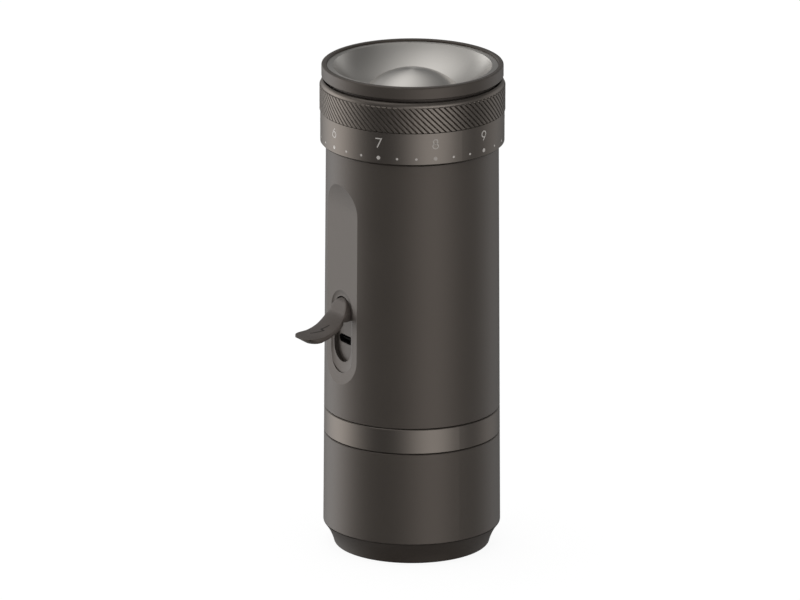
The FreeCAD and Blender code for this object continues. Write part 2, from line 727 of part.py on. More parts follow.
def burr_carrier():
    """Sleeve that holds the outer burr and slides in the neck, notched for the feed keys."""
    seat = OUTER_BURR_R + FIT
    mouth = 15.5
    roof_top = OUTER_BURR_TOP + 3.0
    sleeve = lathe((seat, CARRIER_LOW), (CARRIER_R, CARRIER_LOW), (CARRIER_R, CARRIER_TOP),
                   (KEY_R, CARRIER_TOP), (KEY_R, roof_top), (mouth, roof_top), (mouth, OUTER_BURR_TOP),
                   (seat, OUTER_BURR_TOP))
    half = KEY_HALF + FIT / 2
    notch = block(KEY_R - 1, CARRIER_R + 1, -half, half, KEY_LOW - FIT / 2, CARRIER_TOP + 1)
    return sleeve.cut(around(notch, KEY_ANGLES))


def feed_keys():
    key = block(KEY_R, KEY_REACH, -KEY_HALF, KEY_HALF, KEY_LOW, CARRIER_TOP)
    return Part.makeCompound(around(key, KEY_ANGLES))


def inner_burr_radius(z):
    fall = (INNER_BURR_R_LOW - INNER_BURR_R_TOP) / (INNER_BURR_TOP - INNER_BURR_LOW)
    return INNER_BURR_R_LOW - (z - INNER_BURR_LOW) * fall


def saw_cone(count, depth, grow, z_low, z_top, twist, levels):
    """Cone of slanting saw teeth, two vertices a tooth, that follows the inner burr's cone, grown outward."""
    pitch = 360.0 / count
    rings = []
    for level in range(levels):
        share = level / (levels - 1)
        z = z_low + share * (z_top - z_low)
        crest = inner_burr_radius(z) + grow
        ring = []
        for tooth in range(count):
            start = share * twist + tooth * pitch
            ring.append(polar(crest, start, z))
            ring.append(polar(crest - depth, start + 0.3 * pitch, z))
        rings.append(ring)
    return faceted_solid(rings)


def inner_burr():
    """Hardened cone: fine teeth low down, six sweeping feed blades above."""
    fine = saw_cone(30, 0.8, 0.0, INNER_BURR_LOW, INNER_BURR_MID, 14.0, 3)
    blades = saw_cone(6, 3.6, 0.0, INNER_BURR_MID, INNER_BURR_TOP, 60.0, 6)
    bore = hexagon(SHAFT_FLATS + 0.04, INNER_BURR_LOW - 1, INNER_BURR_TOP + 1)
    return fine.fuse(blades).cut(bore)


def outer_burr():
    """Hardened ring whose toothed cone faces the inner burr."""
    depth = 0.7
    teeth = saw_cone(36, depth, BURR_GAP + depth, CARRIER_LOW, OUTER_BURR_TOP, -14.0, 3)
    return rod(OUTER_BURR_R, CARRIER_LOW, OUTER_BURR_TOP - FIT).cut(teeth)


def sweep_paddle():
    """Three-armed paddle under the inner burr that pushes the grounds to the outlet."""
    hub_r = 7.0
    arm_half = 1.6
    arm_reach = 24.0
    bar = block(hub_r - 2.0, arm_reach, -arm_half, arm_half, PADDLE_LOW, PADDLE_TOP)
    arm = bar.fuse(rod(arm_half, PADDLE_LOW, PADDLE_TOP, arm_reach))
    bore = hexagon(SHAFT_FLATS + 0.04, PADDLE_LOW - 1, PADDLE_TOP + 1)
    return rod(hub_r, PADDLE_LOW, PADDLE_TOP).fuse(around(arm, SCREW_ANGLES)).cut(bore).removeSplitter()


def drive_shaft():
    """Shaft from the planet carrier up through the bearing to the burr nut."""
    spigot_r = 2.98
    spigot_low = CARRIER_DISC_LOW + 0.2
    journal_low = BEARING_LOW - 0.2
    hex_low = PADDLE_LOW - 0.1
    spigot = rod(spigot_r, spigot_low, journal_low)
    journal = rod(SHAFT_R, journal_low, hex_low)
    stud = rod(STUD_R, NUT_LOW, STUD_TOP)
    return hexagon(SHAFT_FLATS, hex_low, NUT_LOW).fuse([spigot, journal, stud]).removeSplitter()


def burr_nut():
    """Domed nut on the shaft's stud."""
    flats = 11.0
    cap_r = 5.2
    dome = ((3.9, 147.6), (0, 148.6))
    cap = lathe((0, NUT_TOP), (cap_r, NUT_TOP), dome)
    nut = hexagon(flats, NUT_LOW + FIT, NUT_TOP).fuse(cap)
    return nut.cut(rod(STUD_R + 0.04, NUT_LOW - 1, STUD_TOP + 0.1)).removeSplitter()


# Bearing and gear train
def bearing_inner():
    return tube(BEARING_BORE_R, BEARING_BORE_R + RACE, BEARING_LOW, BEARING_TOP)


def bearing_outer():
    return tube(BEARING_R - RACE, BEARING_R, BEARING_LOW, BEARING_TOP)


def bearing_balls():
    balls = 8
    ball_r = 0.75
    orbit = (BEARING_BORE_R + BEARING_R) / 2
    middle = (BEARING_LOW + BEARING_TOP) / 2
    centres = [polar(orbit, 360 / balls * ball, middle) for ball in range(balls)]
    return Part.makeCompound([Part.makeSphere(ball_r, centre) for centre in centres])


def involute(angle):
    return math.tan(angle) - angle


def gear_prism(teeth, tip, root, slack, phase, z_low, z_top):
    """Spur gear outline with involute flanks drawn as arcs; slack thickens each tooth at the pitch line."""
    pitch_r = MODULE * teeth / 2
    base_r = pitch_r * math.cos(PRESSURE)
    foot_r = max(root, base_r)
    pitch = 360.0 / teeth

    def half(radius):
        flank = math.pi / (2 * teeth) + involute(PRESSURE) - involute(math.acos(base_r / radius))
        return math.degrees(flank + slack / (2 * pitch_r))

    middle = (foot_r + tip) / 2
    edges = []
    for tooth in range(teeth):
        mid = phase + tooth * pitch
        left = [polar(r, mid - half(r), z_low) for r in (foot_r, middle, tip)]
        right = [polar(r, mid + half(r), z_low) for r in (tip, middle, foot_r)]
        low_left = polar(root, mid - half(foot_r), z_low)
        low_right = polar(root, mid + half(foot_r), z_low)
        next_left = polar(root, mid + pitch - half(foot_r), z_low)
        if root < base_r:
            edges.append(Part.makeLine(low_left, left[0]))
        edges.append(Part.Arc(*left).toShape())
        edges.append(Part.makeLine(left[2], right[0]))
        edges.append(Part.Arc(*right).toShape())
        if root < base_r:
            edges.append(Part.makeLine(right[2], low_right))
        edges.append(Part.makeLine(low_right, next_left))
    return Part.Face(Part.Wire(edges)).extrude(V(0, 0, z_top - z_low))


def external_gear(teeth, phase, bore, z_low, z_top):
    pitch_r = MODULE * teeth / 2
    gear = gear_prism(teeth, pitch_r + ADDENDUM, pitch_r - DEDENDUM, -BACKLASH, phase, z_low, z_top)
    return gear.cut(rod(bore, z_low - 1, z_top + 1))


def ring_gear():
    pitch_r = MODULE * RING_TEETH / 2
    hole = gear_prism(RING_TEETH, pitch_r + DEDENDUM, pitch_r - ADDENDUM, BACKLASH, 180.0 / RING_TEETH,
                      GEARBOX_LOW - 1, GEARBOX_TOP + 1)
    return rod(GEARBOX_R, GEARBOX_LOW + FIT, GEARBOX_TOP).cut(hole)


def planet_gear(angle):
    half_tooth = 180.0 / PLANET_TEETH
    gear = external_gear(PLANET_TEETH, angle + half_tooth, PIN_R + FIT, PLANET_LOW, PLANET_TOP)
    gear.translate(polar(PLANET_ORBIT, angle))
    return gear


def planet_carrier():
    """Disc with three pins for the planets and a bore for the drive shaft."""
    disc_r = 10.8
    collar_r = 4.0
    collar_top = CARRIER_DISC_TOP + 1.0
    bore = 3.0
    disc = rod(disc_r, CARRIER_DISC_LOW, CARRIER_DISC_TOP).fuse(rod(collar_r, CARRIER_DISC_TOP, collar_top))
    pins = around(rod(PIN_R, PLANET_LOW, CARRIER_DISC_LOW, PLANET_ORBIT), PLANET_ANGLES)
    return disc.fuse(pins).cut(rod(bore, CARRIER_DISC_LOW - 1, collar_top + 1)).removeSplitter()


def gearbox_cover():
    """Top of the gear case, with the bearing's seat and a flange screwed under the grinding chamber."""
    eye = 7.0
    seat = BEARING_R + 0.03
    flange_r = 19.4
    low = GEARBOX_TOP + FIT
    top = CHAMBER_LOW - FIT
    seat_low = BEARING_LOW - FIT
    cover = lathe((eye, low), (GEARBOX_R, low), (GEARBOX_R, FLANGE_LOW), (flange_r, FLANGE_LOW),
                  (flange_r, top), (seat, top), (seat, seat_low), (eye, seat_low))
    hole = rod(GEARBOX_SCREW_R + FIT, FLANGE_LOW - 1, top + 1, GEARBOX_SCREW_ORBIT)
    way = chute_prism(CHUTE_WALL + 0.3, low - 1, top + 1)
    return cover.cut(around(hole, SCREW_ANGLES) + [way])


def gearbox_screws():
    head_r = 1.9
    head_tall = 1.4
    low = FLANGE_LOW - FIT - head_tall
    one = screw(GEARBOX_SCREW_R, head_r, head_tall, low, GEARBOX_SCREW_TOP, GEARBOX_SCREW_ORBIT, 0, True)
    return Part.makeCompound(around(one, SCREW_ANGLES))


def motor_plate():
    """Plate between motor and gears, with sunk holes for the motor screws."""
    low = MOTOR_TOP + FIT
    sink_r = 2.1
    sink_low = 93.2
    cuts = [rod(MOTOR_BOSS_R + 0.1, low - 1, GEARBOX_LOW + 1)]
    for x in (-MOTOR_SCREW_X, MOTOR_SCREW_X):
        cuts.append(rod(MOTOR_SCREW_R + FIT, low - 1, GEARBOX_LOW + 1, x))
        cuts.append(rod(sink_r, sink_low, GEARBOX_LOW + 1, x))
    return rod(GEARBOX_R, low, GEARBOX_LOW).cut(cuts)


def motor_screws():
    head_r = 1.9
    head_tall = 1.1
    low = 89.2
    top = 94.35
    ends = (-MOTOR_SCREW_X, MOTOR_SCREW_X)
    return Part.makeCompound([screw(MOTOR_SCREW_R, head_r, head_tall, low, top, x, 0, False) for x in ends])


# Motor
def motor_can():
    """Drawn can, open below, with a bearing boss and two threaded holes in its front wall."""
    inside = MOTOR_R - MOTOR_WALL
    corner = 0.8
    front = MOTOR_TOP - 1.4
    bore = MOTOR_SHAFT_R + FIT
    can = lathe((inside, MOTOR_LOW), (MOTOR_R, MOTOR_LOW), (MOTOR_R, MOTOR_TOP - corner),
                (MOTOR_R - corner, MOTOR_TOP), (MOTOR_BOSS_R, MOTOR_TOP), (MOTOR_BOSS_R, MOTOR_BOSS_TOP),
                (bore, MOTOR_BOSS_TOP), (bore, front), (inside, front))
    ends = (-MOTOR_SCREW_X, MOTOR_SCREW_X)
    return can.cut([rod(MOTOR_SCREW_R + FIT, front - 1, MOTOR_TOP + 1, x) for x in ends])


def motor_cap():
    """Moulded end of the motor with its two tabs."""
    low = 58.8
    seat_low = low + 1.0
    cap_r = MOTOR_R - 0.2
    tab_x = 7.0
    tab_thin = 0.3
    tab_half = 1.5
    tab_low = low - 1.5
    top = MOTOR_LOW - FIT
    cap = rod(cap_r, low, top).cut(rod(MOTOR_SHAFT_R + FIT, seat_low, top + 1))
    tabs = [block(x - tab_thin, x + tab_thin, -tab_half, tab_half, tab_low, low) for x in (-tab_x, tab_x)]
    return cap.fuse(tabs)


def motor_magnets():
    """Two curved magnets against the can's wall."""
    low = 64.0
    top = 88.0
    gap_half = 3.0
    sleeve = tube(ARMATURE_R + 0.4, MOTOR_R - MOTOR_WALL - FIT, low, top)
    gaps = block(-gap_half, gap_half, -INSIDE, INSIDE, low - 1, top + 1)
    return sleeve.cut(gaps)


def armature():
    """Five-pole iron core with rounded pole shoes."""
    poles = 5
    low = 66.0
    top = 86.0
    slot_low = 4.2
    slot_top = 8.2
    slot_half = 2.2
    mouth_half = 0.5
    slot = block(slot_low, slot_top, -slot_half, slot_half, low - 1, top + 1)
    mouth = block(slot_top - 0.2, ARMATURE_R + 1, -mouth_half, mouth_half, low - 1, top + 1)
    slots = around(slot.fuse(mouth), [360 / poles * pole for pole in range(poles)])
    return rod(ARMATURE_R, low, top).cut([rod(MOTOR_SHAFT_R + 0.01, low - 1, top + 1)] + slots)


def motor_shaft():
    low = 60.0
    top = PLANET_TOP - 0.2
    return rod(MOTOR_SHAFT_R, low, top)


def sun_gear():
    return external_gear(SUN_TEETH, 0.0, MOTOR_SHAFT_R + 0.01, PLANET_LOW - 0.3, PLANET_TOP - 0.3)


# Power and controls
def battery_cell(angle):
    """Round cell with a crimped top and a raised contact."""
    top = CELL_LOW + CELL_LENGTH
    contact = 2.8
    can_top = top - 0.8
    crimp = [(CELL_R, top - 3.0), (CELL_R - 0.5, top - 2.4), (CELL_R, top - 1.8)]
    cell = lathe((0, CELL_LOW), (CELL_R, CELL_LOW), *crimp, (CELL_R - 0.6, can_top), (contact, can_top),
                 (contact, top), (0, top))
    cell.translate(polar(CELL_ORBIT, angle))
    return cell


def cell_cradle():
    """Moulded cradle that holds the cells at both ends, open between two posts."""
    def sector(inner, outer, start, end, z_low, z_top):
        ring = Part.makeCylinder(outer, z_top - z_low, V(0, 0, z_low), UP, end - start)
        return turned(ring, start).cut(rod(inner, z_low - 1, z_top + 1))

    start = 124.0
    end = 244.0
    post = 4.0
    inner = 15.0
    outer = 29.6
    low = CELL_LOW + FIT
    top = 107.4
    window_low = 66.0
    window_top = 99.0
    body = sector(inner, outer, start, end, low, top)
    window = sector(inner - 3.0, outer + 1.4, start + post, end - post, window_low, window_top)
    sockets = [rod(CELL_R + 0.1, low - 1, top + 1, *polar(CELL_ORBIT, angle)[:2]) for angle in CELL_ANGLES]
    return body.cut([window] + sockets).removeSplitter()


def control_board():
    """Upright board behind the button, with its larger components."""
    face = BOARD_Y + BOARD_THICK
    low = 59.2
    top = 111.5
    board = block(-BOARD_HALF, BOARD_HALF, BOARD_Y, face, low, top)
    controller = block(-6.0, 1.0, face, face + 1.2, 76.0, 83.0)
    coil = block(3.5, 8.5, face, face + 2.4, 66.0, 71.0)
    drive = block(-9.0, -4.0, face, face + 1.6, 66.5, 70.0)
    guard = block(4.0, 9.0, face, face + 1.0, 84.0, 89.0)
    return board.fuse([controller, coil, drive, guard]).removeSplitter()


def power_switch():
    """Push switch on the board; its plunger stands just behind the button."""
    half = 3.0
    deep = 3.2
    plunger_r = 1.7
    plunger_long = 0.7
    face = BOARD_Y + BOARD_THICK + FIT
    case = block(-half, half, face, face + deep, BUTTON_Z - half, BUTTON_Z + half)
    plunger = Part.makeCylinder(plunger_r, plunger_long, V(0, face + deep, BUTTON_Z), BUTTON_AXIS)
    return case.fuse(plunger)


def outside_at_button():
    """Solid as wide as the body at the button, to trim what is flush with it."""
    return rod(shell_radius(BUTTON_Z), BUTTON_Z - 20.0, BUTTON_Z + 20.0)


def power_button():
    """Round push button, flush with the tapered body, with a retaining flange and a stem to the switch."""
    def disc(radius, long, back):
        return Part.makeCylinder(radius, long, V(0, back, BUTTON_Z), BUTTON_AXIS)

    hollow_r = BUTTON_R - 1.2
    hollow_deep = 1.6
    flange_r = 7.6
    flange_thick = 0.8
    flange_back = BUTTON_BACK - 0.3
    stem_r = 2.0
    stem_long = 2.5
    stem_back = BUTTON_BACK - 0.5
    cap = disc(BUTTON_R, OUTSIDE - BUTTON_BACK, BUTTON_BACK).cut(disc(hollow_r, hollow_deep, BUTTON_BACK))
    flange = disc(flange_r, flange_thick, flange_back).cut(disc(hollow_r, flange_thick + 2, flange_back - 1))
    stem = disc(stem_r, stem_long, stem_back)
    return cap.fuse([flange, stem]).common(outside_at_button()).removeSplitter()


def light_ring():
    """Translucent ring pressed round the button, flush with the body."""
    back = BUTTON_BACK + 1.0
    inner = BUTTON_R + 0.2
    long = OUTSIDE - back
    ring = Part.makeCylinder(LIGHT_RING_R, long, V(0, back, BUTTON_Z), BUTTON_AXIS)
    hole = Part.makeCylinder(inner, long + 2, V(0, back - 1, BUTTON_Z), BUTTON_AXIS)
    return ring.cut(hole).common(outside_at_button())


PIECES = [
    foot, catch_cup, cup_seal, band_ring, base_plate, base_screws, body_shell, port_insert, charging_socket,
    charging_board, port_flap, adjusting_ring, grip_band, click_spring, hopper, lid_rim, lid_dish, lid_plug,
    lid_seal, burr_housing, shaft_seal, chute, burr_carrier, feed_keys, inner_burr, outer_burr, sweep_paddle,
    drive_shaft, burr_nut, bearing_inner, bearing_outer, bearing_balls, ring_gear, planet_carrier,
    gearbox_cover, gearbox_screws, motor_plate, motor_screws, motor_can, motor_cap, motor_magnets, armature,
    motor_shaft, sun_gear, cell_cradle, control_board, power_switch, power_button, light_ring,
]

for piece in PIECES:
    save(piece.__name__, piece())
for number, angle in enumerate(PLANET_ANGLES, 1):
    save(f"planet_gear_{number}", planet_gear(angle))
for number, angle in enumerate(CELL_ANGLES, 1):
    save(f"battery_cell_{number}", battery_cell(angle))
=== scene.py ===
"""Looks of the cordless coffee grinder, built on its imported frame. Metres, +Z up."""
import math

import bmesh
import bpy
import numpy as np
from mathutils import Matrix, Vector


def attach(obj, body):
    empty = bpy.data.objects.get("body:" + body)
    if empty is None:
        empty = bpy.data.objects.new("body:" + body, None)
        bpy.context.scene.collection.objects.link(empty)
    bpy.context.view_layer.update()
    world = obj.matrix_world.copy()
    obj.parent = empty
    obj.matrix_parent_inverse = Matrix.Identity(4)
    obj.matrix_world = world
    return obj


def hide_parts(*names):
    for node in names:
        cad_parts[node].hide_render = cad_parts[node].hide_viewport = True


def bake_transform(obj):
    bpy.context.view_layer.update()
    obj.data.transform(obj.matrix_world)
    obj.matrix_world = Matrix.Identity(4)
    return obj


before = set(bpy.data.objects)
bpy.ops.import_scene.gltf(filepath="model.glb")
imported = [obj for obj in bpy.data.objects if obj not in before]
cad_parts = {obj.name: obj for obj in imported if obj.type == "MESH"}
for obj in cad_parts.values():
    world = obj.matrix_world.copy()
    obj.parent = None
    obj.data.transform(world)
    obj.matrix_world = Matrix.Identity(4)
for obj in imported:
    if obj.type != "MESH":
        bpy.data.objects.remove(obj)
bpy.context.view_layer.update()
scene = bpy.context.scene
scene.view_settings.view_transform = "Standard"

# Camera: a long lens that looks 17 degrees down on the grinder, from the right of the charging panel,
# so that the open flap stands out at the left
CAMERA_AWAY = 4.5581
CAMERA_HEIGHT = 1.495
CAMERA_AZIMUTH = math.radians(57.5)
CAMERA_PITCH = 0.298
CAMERA_YAW = -0.001
CAMERA_ROLL = 0.0015
CAMERA_LENS = 569.2

heading = CAMERA_AZIMUTH - CAMERA_YAW
forward = Vector((-math.sin(heading) * math.cos(CAMERA_PITCH), math.cos(heading) * math.cos(CAMERA_PITCH),
                  -math.sin(CAMERA_PITCH)))
level = Vector((math.cos(heading), math.sin(heading), 0.0))
upward = level.cross(forward)
right = level * math.cos(CAMERA_ROLL) + upward * math.sin(CAMERA_ROLL)
upward = right.cross(forward)
camera = bpy.data.objects.new("camera", bpy.data.cameras.new("camera"))
camera.data.lens = CAMERA_LENS
camera.data.sensor_width = 36.0
camera.data.clip_end = 50.0
stand = Matrix((right, upward, -forward)).transposed().to_4x4()
stand.translation = (CAMERA_AWAY * math.sin(CAMERA_AZIMUTH), -CAMERA_AWAY * math.cos(CAMERA_AZIMUTH),
                     CAMERA_HEIGHT)
camera.matrix_world = stand
scene.collection.objects.link(camera)
scene.camera = camera


# Foot: a flared shoe of nearly black rubber, moulded round the boss under the cup. The mould leaves a
# fine grain on it.
FOOT_BLACK = (0.033, 0.0265, 0.0215)
MOULD_SHEEN = (1.0, 0.88, 0.80, 1.0)
MOULD_DULL = 0.86
MOULD_MOTTLE = 160.0
MOULD_GRAIN_DEEP = 0.00004


class Wire:
    """A shader socket in a Python expression: sums and products of sockets add their Math nodes."""

    def __init__(self, tree, socket=None):
        self.tree = tree
        self.socket = socket

    def node(self, kind, settings, sockets, out=0):
        """Any other node: its settings first, then the values or links of its sockets."""
        made = self.tree.nodes.new(kind)
        for name, value in settings.items():
            setattr(made, name, value)
        for name, value in sockets.items():
            if isinstance(value, Wire):
                self.tree.links.new(value.socket, made.inputs[name])
            else:
                made.inputs[name].default_value = value
        return Wire(self.tree, made.outputs[out])

    def math(self, operation, first, second):
        return self.node("ShaderNodeMath", {"operation": operation}, {0: first, 1: second})

    def __add__(self, other):
        return self.math("ADD", self, other)

    def __radd__(self, other):
        return self.math("ADD", other, self)

    def __sub__(self, other):
        return self.math("SUBTRACT", self, other)

    def __rsub__(self, other):
        return self.math("SUBTRACT", other, self)

    def __mul__(self, other):
        return self.math("MULTIPLY", self, other)

    def __rmul__(self, other):
        return self.math("MULTIPLY", other, self)

    def __pow__(self, other):
        return self.math("POWER", self, other)

    def feeds(self, node, name):
        self.tree.links.new(self.socket, node.inputs[name])


def new_finish(name, colour, metallic, roughness):
    """A material with flat values, its surface node and a wire to start its other nodes from."""
    finish = bpy.data.materials.new(name)
    finish.use_nodes = True
    finish.diffuse_color = (*colour, 1.0)
    surface = finish.node_tree.nodes["Principled BSDF"]
    surface.inputs["Base Color"].default_value = (*colour, 1.0)
    surface.inputs["Metallic"].default_value = metallic
    surface.inputs["Roughness"].default_value = roughness
    return finish, surface, Wire(finish.node_tree)


def speckle(wire, scale):
    """Noise from 0 to 1 in the part's own frame, with so many grains a metre."""
    where = wire.node("ShaderNodeTexCoord", {}, {}, "Object")
    return wire.node("ShaderNodeTexNoise", {}, {"Vector": where, "Scale": scale, "Detail": 2.0}, "Fac")


def between(wire, share, low, high):
    """Colour between two tints."""
    settings = {"data_type": "RGBA", "clamp_factor": True}
    return wire.node("ShaderNodeMix", settings, {0: share, 6: (*low, 1.0), 7: (*high, 1.0)}, 2)


def bump(wire, height, distance, strength):
    return wire.node("ShaderNodeBump", {}, {"Height": height, "Distance": distance, "Strength": strength})


def moulded(name, colour, roughness, grain, grain_scale=3000.0):
    """Rubber or plastic from a textured mould: a little mottled, with a grain in gloss and relief."""
    finish, surface, wire = new_finish(name, colour, metallic=0.0, roughness=roughness)
    surface.inputs["Specular Tint"].default_value = MOULD_SHEEN
    dull = tuple(MOULD_DULL * part for part in colour)
    between(wire, speckle(wire, MOULD_MOTTLE), dull, colour).feeds(surface, "Base Color")
    (roughness - 0.05 + 0.1 * speckle(wire, grain_scale / 3)).feeds(surface, "Roughness")
    bump(wire, speckle(wire, grain_scale), MOULD_GRAIN_DEEP, grain).feeds(surface, "Normal")
    return finish


def dress(finish, *names):
    """Gives CAD nodes a finish in place of their plain one."""
    for name in names:
        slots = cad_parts[name].data.materials
        slots.clear()
        slots.append(finish)


dress(moulded("foot_rubber", FOOT_BLACK, roughness=0.5, grain=0.2), "foot")


# Catch cup and lid rim: turned from aluminium, blasted with fine beads and given a thin coat in warm dark
# grey. The body shell gets the same coat.
COAT_LOW = (0.042, 0.0365, 0.0315)
COAT_HIGH = (0.049, 0.043, 0.037)
COAT_ROUGH = 0.42
COAT_SHEEN = (1.0, 0.86, 0.77, 1.0)
COAT_MOTTLE = 45.0
COAT_GLOSS_GRAIN = 1800.0
COAT_BEAD_GRAIN = 4200.0
COAT_BEAD_DEEP = 0.00003

body_coat, surface, wire = new_finish("body_coat", COAT_HIGH, metallic=0.0, roughness=COAT_ROUGH)
surface.inputs["Specular IOR Level"].default_value = 0.6
surface.inputs["Specular Tint"].default_value = COAT_SHEEN
between(wire, speckle(wire, COAT_MOTTLE), COAT_LOW, COAT_HIGH).feeds(surface, "Base Color")
(COAT_ROUGH - 0.04 + 0.08 * speckle(wire, COAT_GLOSS_GRAIN)).feeds(surface, "Roughness")
bump(wire, speckle(wire, COAT_BEAD_GRAIN), COAT_BEAD_DEEP, strength=0.12).feeds(surface, "Normal")
dress(body_coat, "catch_cup", "lid_rim")


# Body shell: a tube turned to a slight taper from the same aluminium, with a neck that carries the grind
# ring. A flat panel with round ends is milled along one side, with a shallow basin round the charging well,
# and a round hole in the back takes the button.
MM = 0.001
BODY_LOW = 54.3
BODY_TOP = 157.3
SHELL_LOW_R = 33.193
SHELL_TOP_R = 32.5
NECK_R = 31.0
NECK_BORE_R = 28.5
NECK_TOP = 181.5
SHOULDER_LOW = 150.0
BORE_R = 30.0
TURNED_EDGE = 0.3
PANEL_HALF = 10.9
PANEL_LOW = 67.5
PANEL_TOP = 145.4
PANEL_DEPTH = 31.15
PANEL_MID = (PANEL_LOW + PANEL_TOP) / 2
BASIN_HALF = 7.4
BASIN_LOW = 72.5
BASIN_TOP = 103.8
BASIN_FLOOR = 30.77
WELL_HALF = 5.85
WELL_LOW = 75.85
WELL_TOP = 101.55
RIM_WALL = 0.8
RIM_TOP = 30.745
BUTTON_HOLE_R = 8.15
BUTTON_Z = 98.0
KEY_ANGLES = (90.0, 210.0, 330.0)
KEY_HALF = 3.1
KEY_LOW = 157.8
KEY_TOP = 166.0
CLICK_ANGLE = 156.0
CLICK_HALF = 2.7
CLICK_LOW = 166.8
CLICK_TOP = 178.4
CLICK_R = 29.5
INSIDE = 20.0
OUTSIDE = 40.0
PANEL_RUN_OUT = 4.0
PANEL_REACH = 1.5 * PANEL_HALF
PANEL_END_STEPS = 30
BASIN_RUN_OUT = 1.2
BASIN_STEPS = 10
BASIN_CURVE = 1.7
SLOT_STEPS = 33
TUBE_SIDES = 288
HOLE_SIDES = 96
PIECE_CREASE = 40.0
SHELL_CREASE = 12.0


def loft(rings):
    """Closed skin through rings of as many points each: its points and its faces."""
    size = len(rings[0])
    faces = [tuple(range(size)), tuple(range(len(rings) * size - 1, (len(rings) - 1) * size - 1, -1))]
    for ring in range(len(rings) - 1):
        here = ring * size
        for spot in range(size):
            after = (spot + 1) % size
            faces.append((here + after, here + spot, here + size + spot, here + size + after))
    return np.concatenate(rings), faces


def add_piece(name, shells, finish):
    """Object made of closed skins, smooth but for its sharp edges."""
    points = []
    faces = []
    for skin, sides in shells:
        faces += [tuple(len(points) + corner for corner in side) for side in sides]
        points += [tuple(point) for point in skin]
    mesh = bpy.data.meshes.new(name)
    mesh.from_pydata(points, [], faces)
    mesh.materials.append(finish)
    outward = bmesh.new()
    outward.from_mesh(mesh)
    bmesh.ops.recalc_face_normals(outward, faces=outward.faces)
    outward.to_mesh(mesh)
    outward.free()
    mesh.shade_smooth()
    mesh.set_sharp_from_angle(angle=math.radians(PIECE_CREASE))
    made = bpy.data.objects.new(name, mesh)
    scene.collection.objects.link(made)
    return made


def turned_tube(profile, count):
    """Skin of a closed profile of (radius, height) corners, turned about the main axis."""
    radius, height = np.array(profile).T * MM
    turn = np.linspace(0.0, 2 * math.pi, count, endpoint=False)
    rings = []
    for angle in turn:
        rings.append(np.stack([radius * math.cos(angle), radius * math.sin(angle), height], axis=1))
    points, faces = loft(rings)
    size = len(profile)
    last = (count - 1) * size
    seam = [((spot + 1) % size + last, spot + last, spot, (spot + 1) % size) for spot in range(size)]
    return points, faces[2:] + seam


def mill(piece, shells):
    """Cuts closed skins out of a piece."""
    cutter = add_piece("cutter", shells, piece.data.materials[0])
    step = piece.modifiers.new("cut", "BOOLEAN")
    step.operation = "DIFFERENCE"
    step.solver = "EXACT"
    step.object = cutter
    carved = bpy.data.meshes.new_from_object(piece.evaluated_get(bpy.context.evaluated_depsgraph_get()))
    piece.modifiers.clear()
    piece.data = carved
    bpy.data.objects.remove(cutter)
    carved.shade_smooth()
    carved.set_sharp_from_angle(angle=math.radians(SHELL_CREASE))


def shell_radius(height):
    return SHELL_LOW_R + (SHELL_TOP_R - SHELL_LOW_R) * (height - BODY_LOW) / (BODY_TOP - BODY_LOW)


def panel_floor(height):
    """Distance of the panel's flat floor from the axis; it leans with the taper."""
    return PANEL_DEPTH + shell_radius(height) - shell_radius(PANEL_MID)


def panel_sweep():
    """What the panel takes away: a flat floor that sweeps up at its ends, so that they come out round."""
    sink = shell_radius(PANEL_MID) - PANEL_DEPTH
    straight = (PANEL_TOP - PANEL_LOW) / 2 - PANEL_HALF
    ends = np.linspace(-PANEL_HALF, PANEL_RUN_OUT, PANEL_END_STEPS)
    height = np.concatenate([PANEL_LOW - ends[::-1], PANEL_TOP + ends])
    beyond = np.maximum(np.abs(height - PANEL_MID) - straight, 0.0) / PANEL_HALF
    away = panel_floor(height) + sink * beyond ** 2
    floor_line = np.stack([away, height], axis=1)
    outline = np.concatenate([floor_line, [(OUTSIDE, height[-1]), (OUTSIDE, height[0])]])
    rings = []
    for across in (-PANEL_REACH, PANEL_REACH):
        rings.append(np.stack([np.full(len(outline), across), -outline[:, 0], outline[:, 1]], axis=1) * MM)
    return loft(rings)


def slot_ring(half, low, top, away):
    """Upright slot outline with round ends, at a distance from the axis that may change with height."""
    turn = np.linspace(0.0, math.pi, SLOT_STEPS)
    across = np.concatenate([half * np.cos(turn), -half * np.cos(turn)])
    height = np.concatenate([top - half + half * np.sin(turn), low + half - half * np.sin(turn)])
    return np.stack([across, -away(height), height], axis=1) * MM


def upright(away):
    """One distance from the axis for every height."""
    return lambda height: np.full(len(height), away)


def basin_sweep():
    """Shallow hollow that sweeps up from the charging well to the panel's floor, and on above it."""
    rings = []
    for share in np.linspace(0.0, BASIN_RUN_OUT, BASIN_STEPS):
        half = WELL_HALF + share * (BASIN_HALF - WELL_HALF)
        low = WELL_LOW + share * (BASIN_LOW - WELL_LOW)
        top = WELL_TOP + share * (BASIN_TOP - WELL_TOP)
        sink = (PANEL_DEPTH - BASIN_FLOOR) * (1 - share ** BASIN_CURVE)
        rings.append(slot_ring(half, low, top, lambda height: panel_floor(height) - sink))
    rings.append(slot_ring(half, low, top, upright(OUTSIDE)))
    return loft(rings)


def radial_block(degrees, deep, half, low, top):
    """Upright block that reaches out from a distance from the axis, at an angle from +X."""
    turn = math.radians(degrees)
    out = np.array((math.cos(turn), math.sin(turn), 0.0))
    side = np.array((-math.sin(turn), math.cos(turn), 0.0))
    corners = [(deep, -half), (OUTSIDE, -half), (OUTSIDE, half), (deep, half)]
    rings = []
    for height in (low, top):
        places = [reach * out + across * side + (0.0, 0.0, height) for reach, across in corners]
        rings.append(np.array(places) * MM)
    return loft(rings)


def rim_seat(height):
    """Distance from the axis of the charging well's rim; it leans with the panel."""
    return RIM_TOP - PANEL_DEPTH + panel_floor(height)


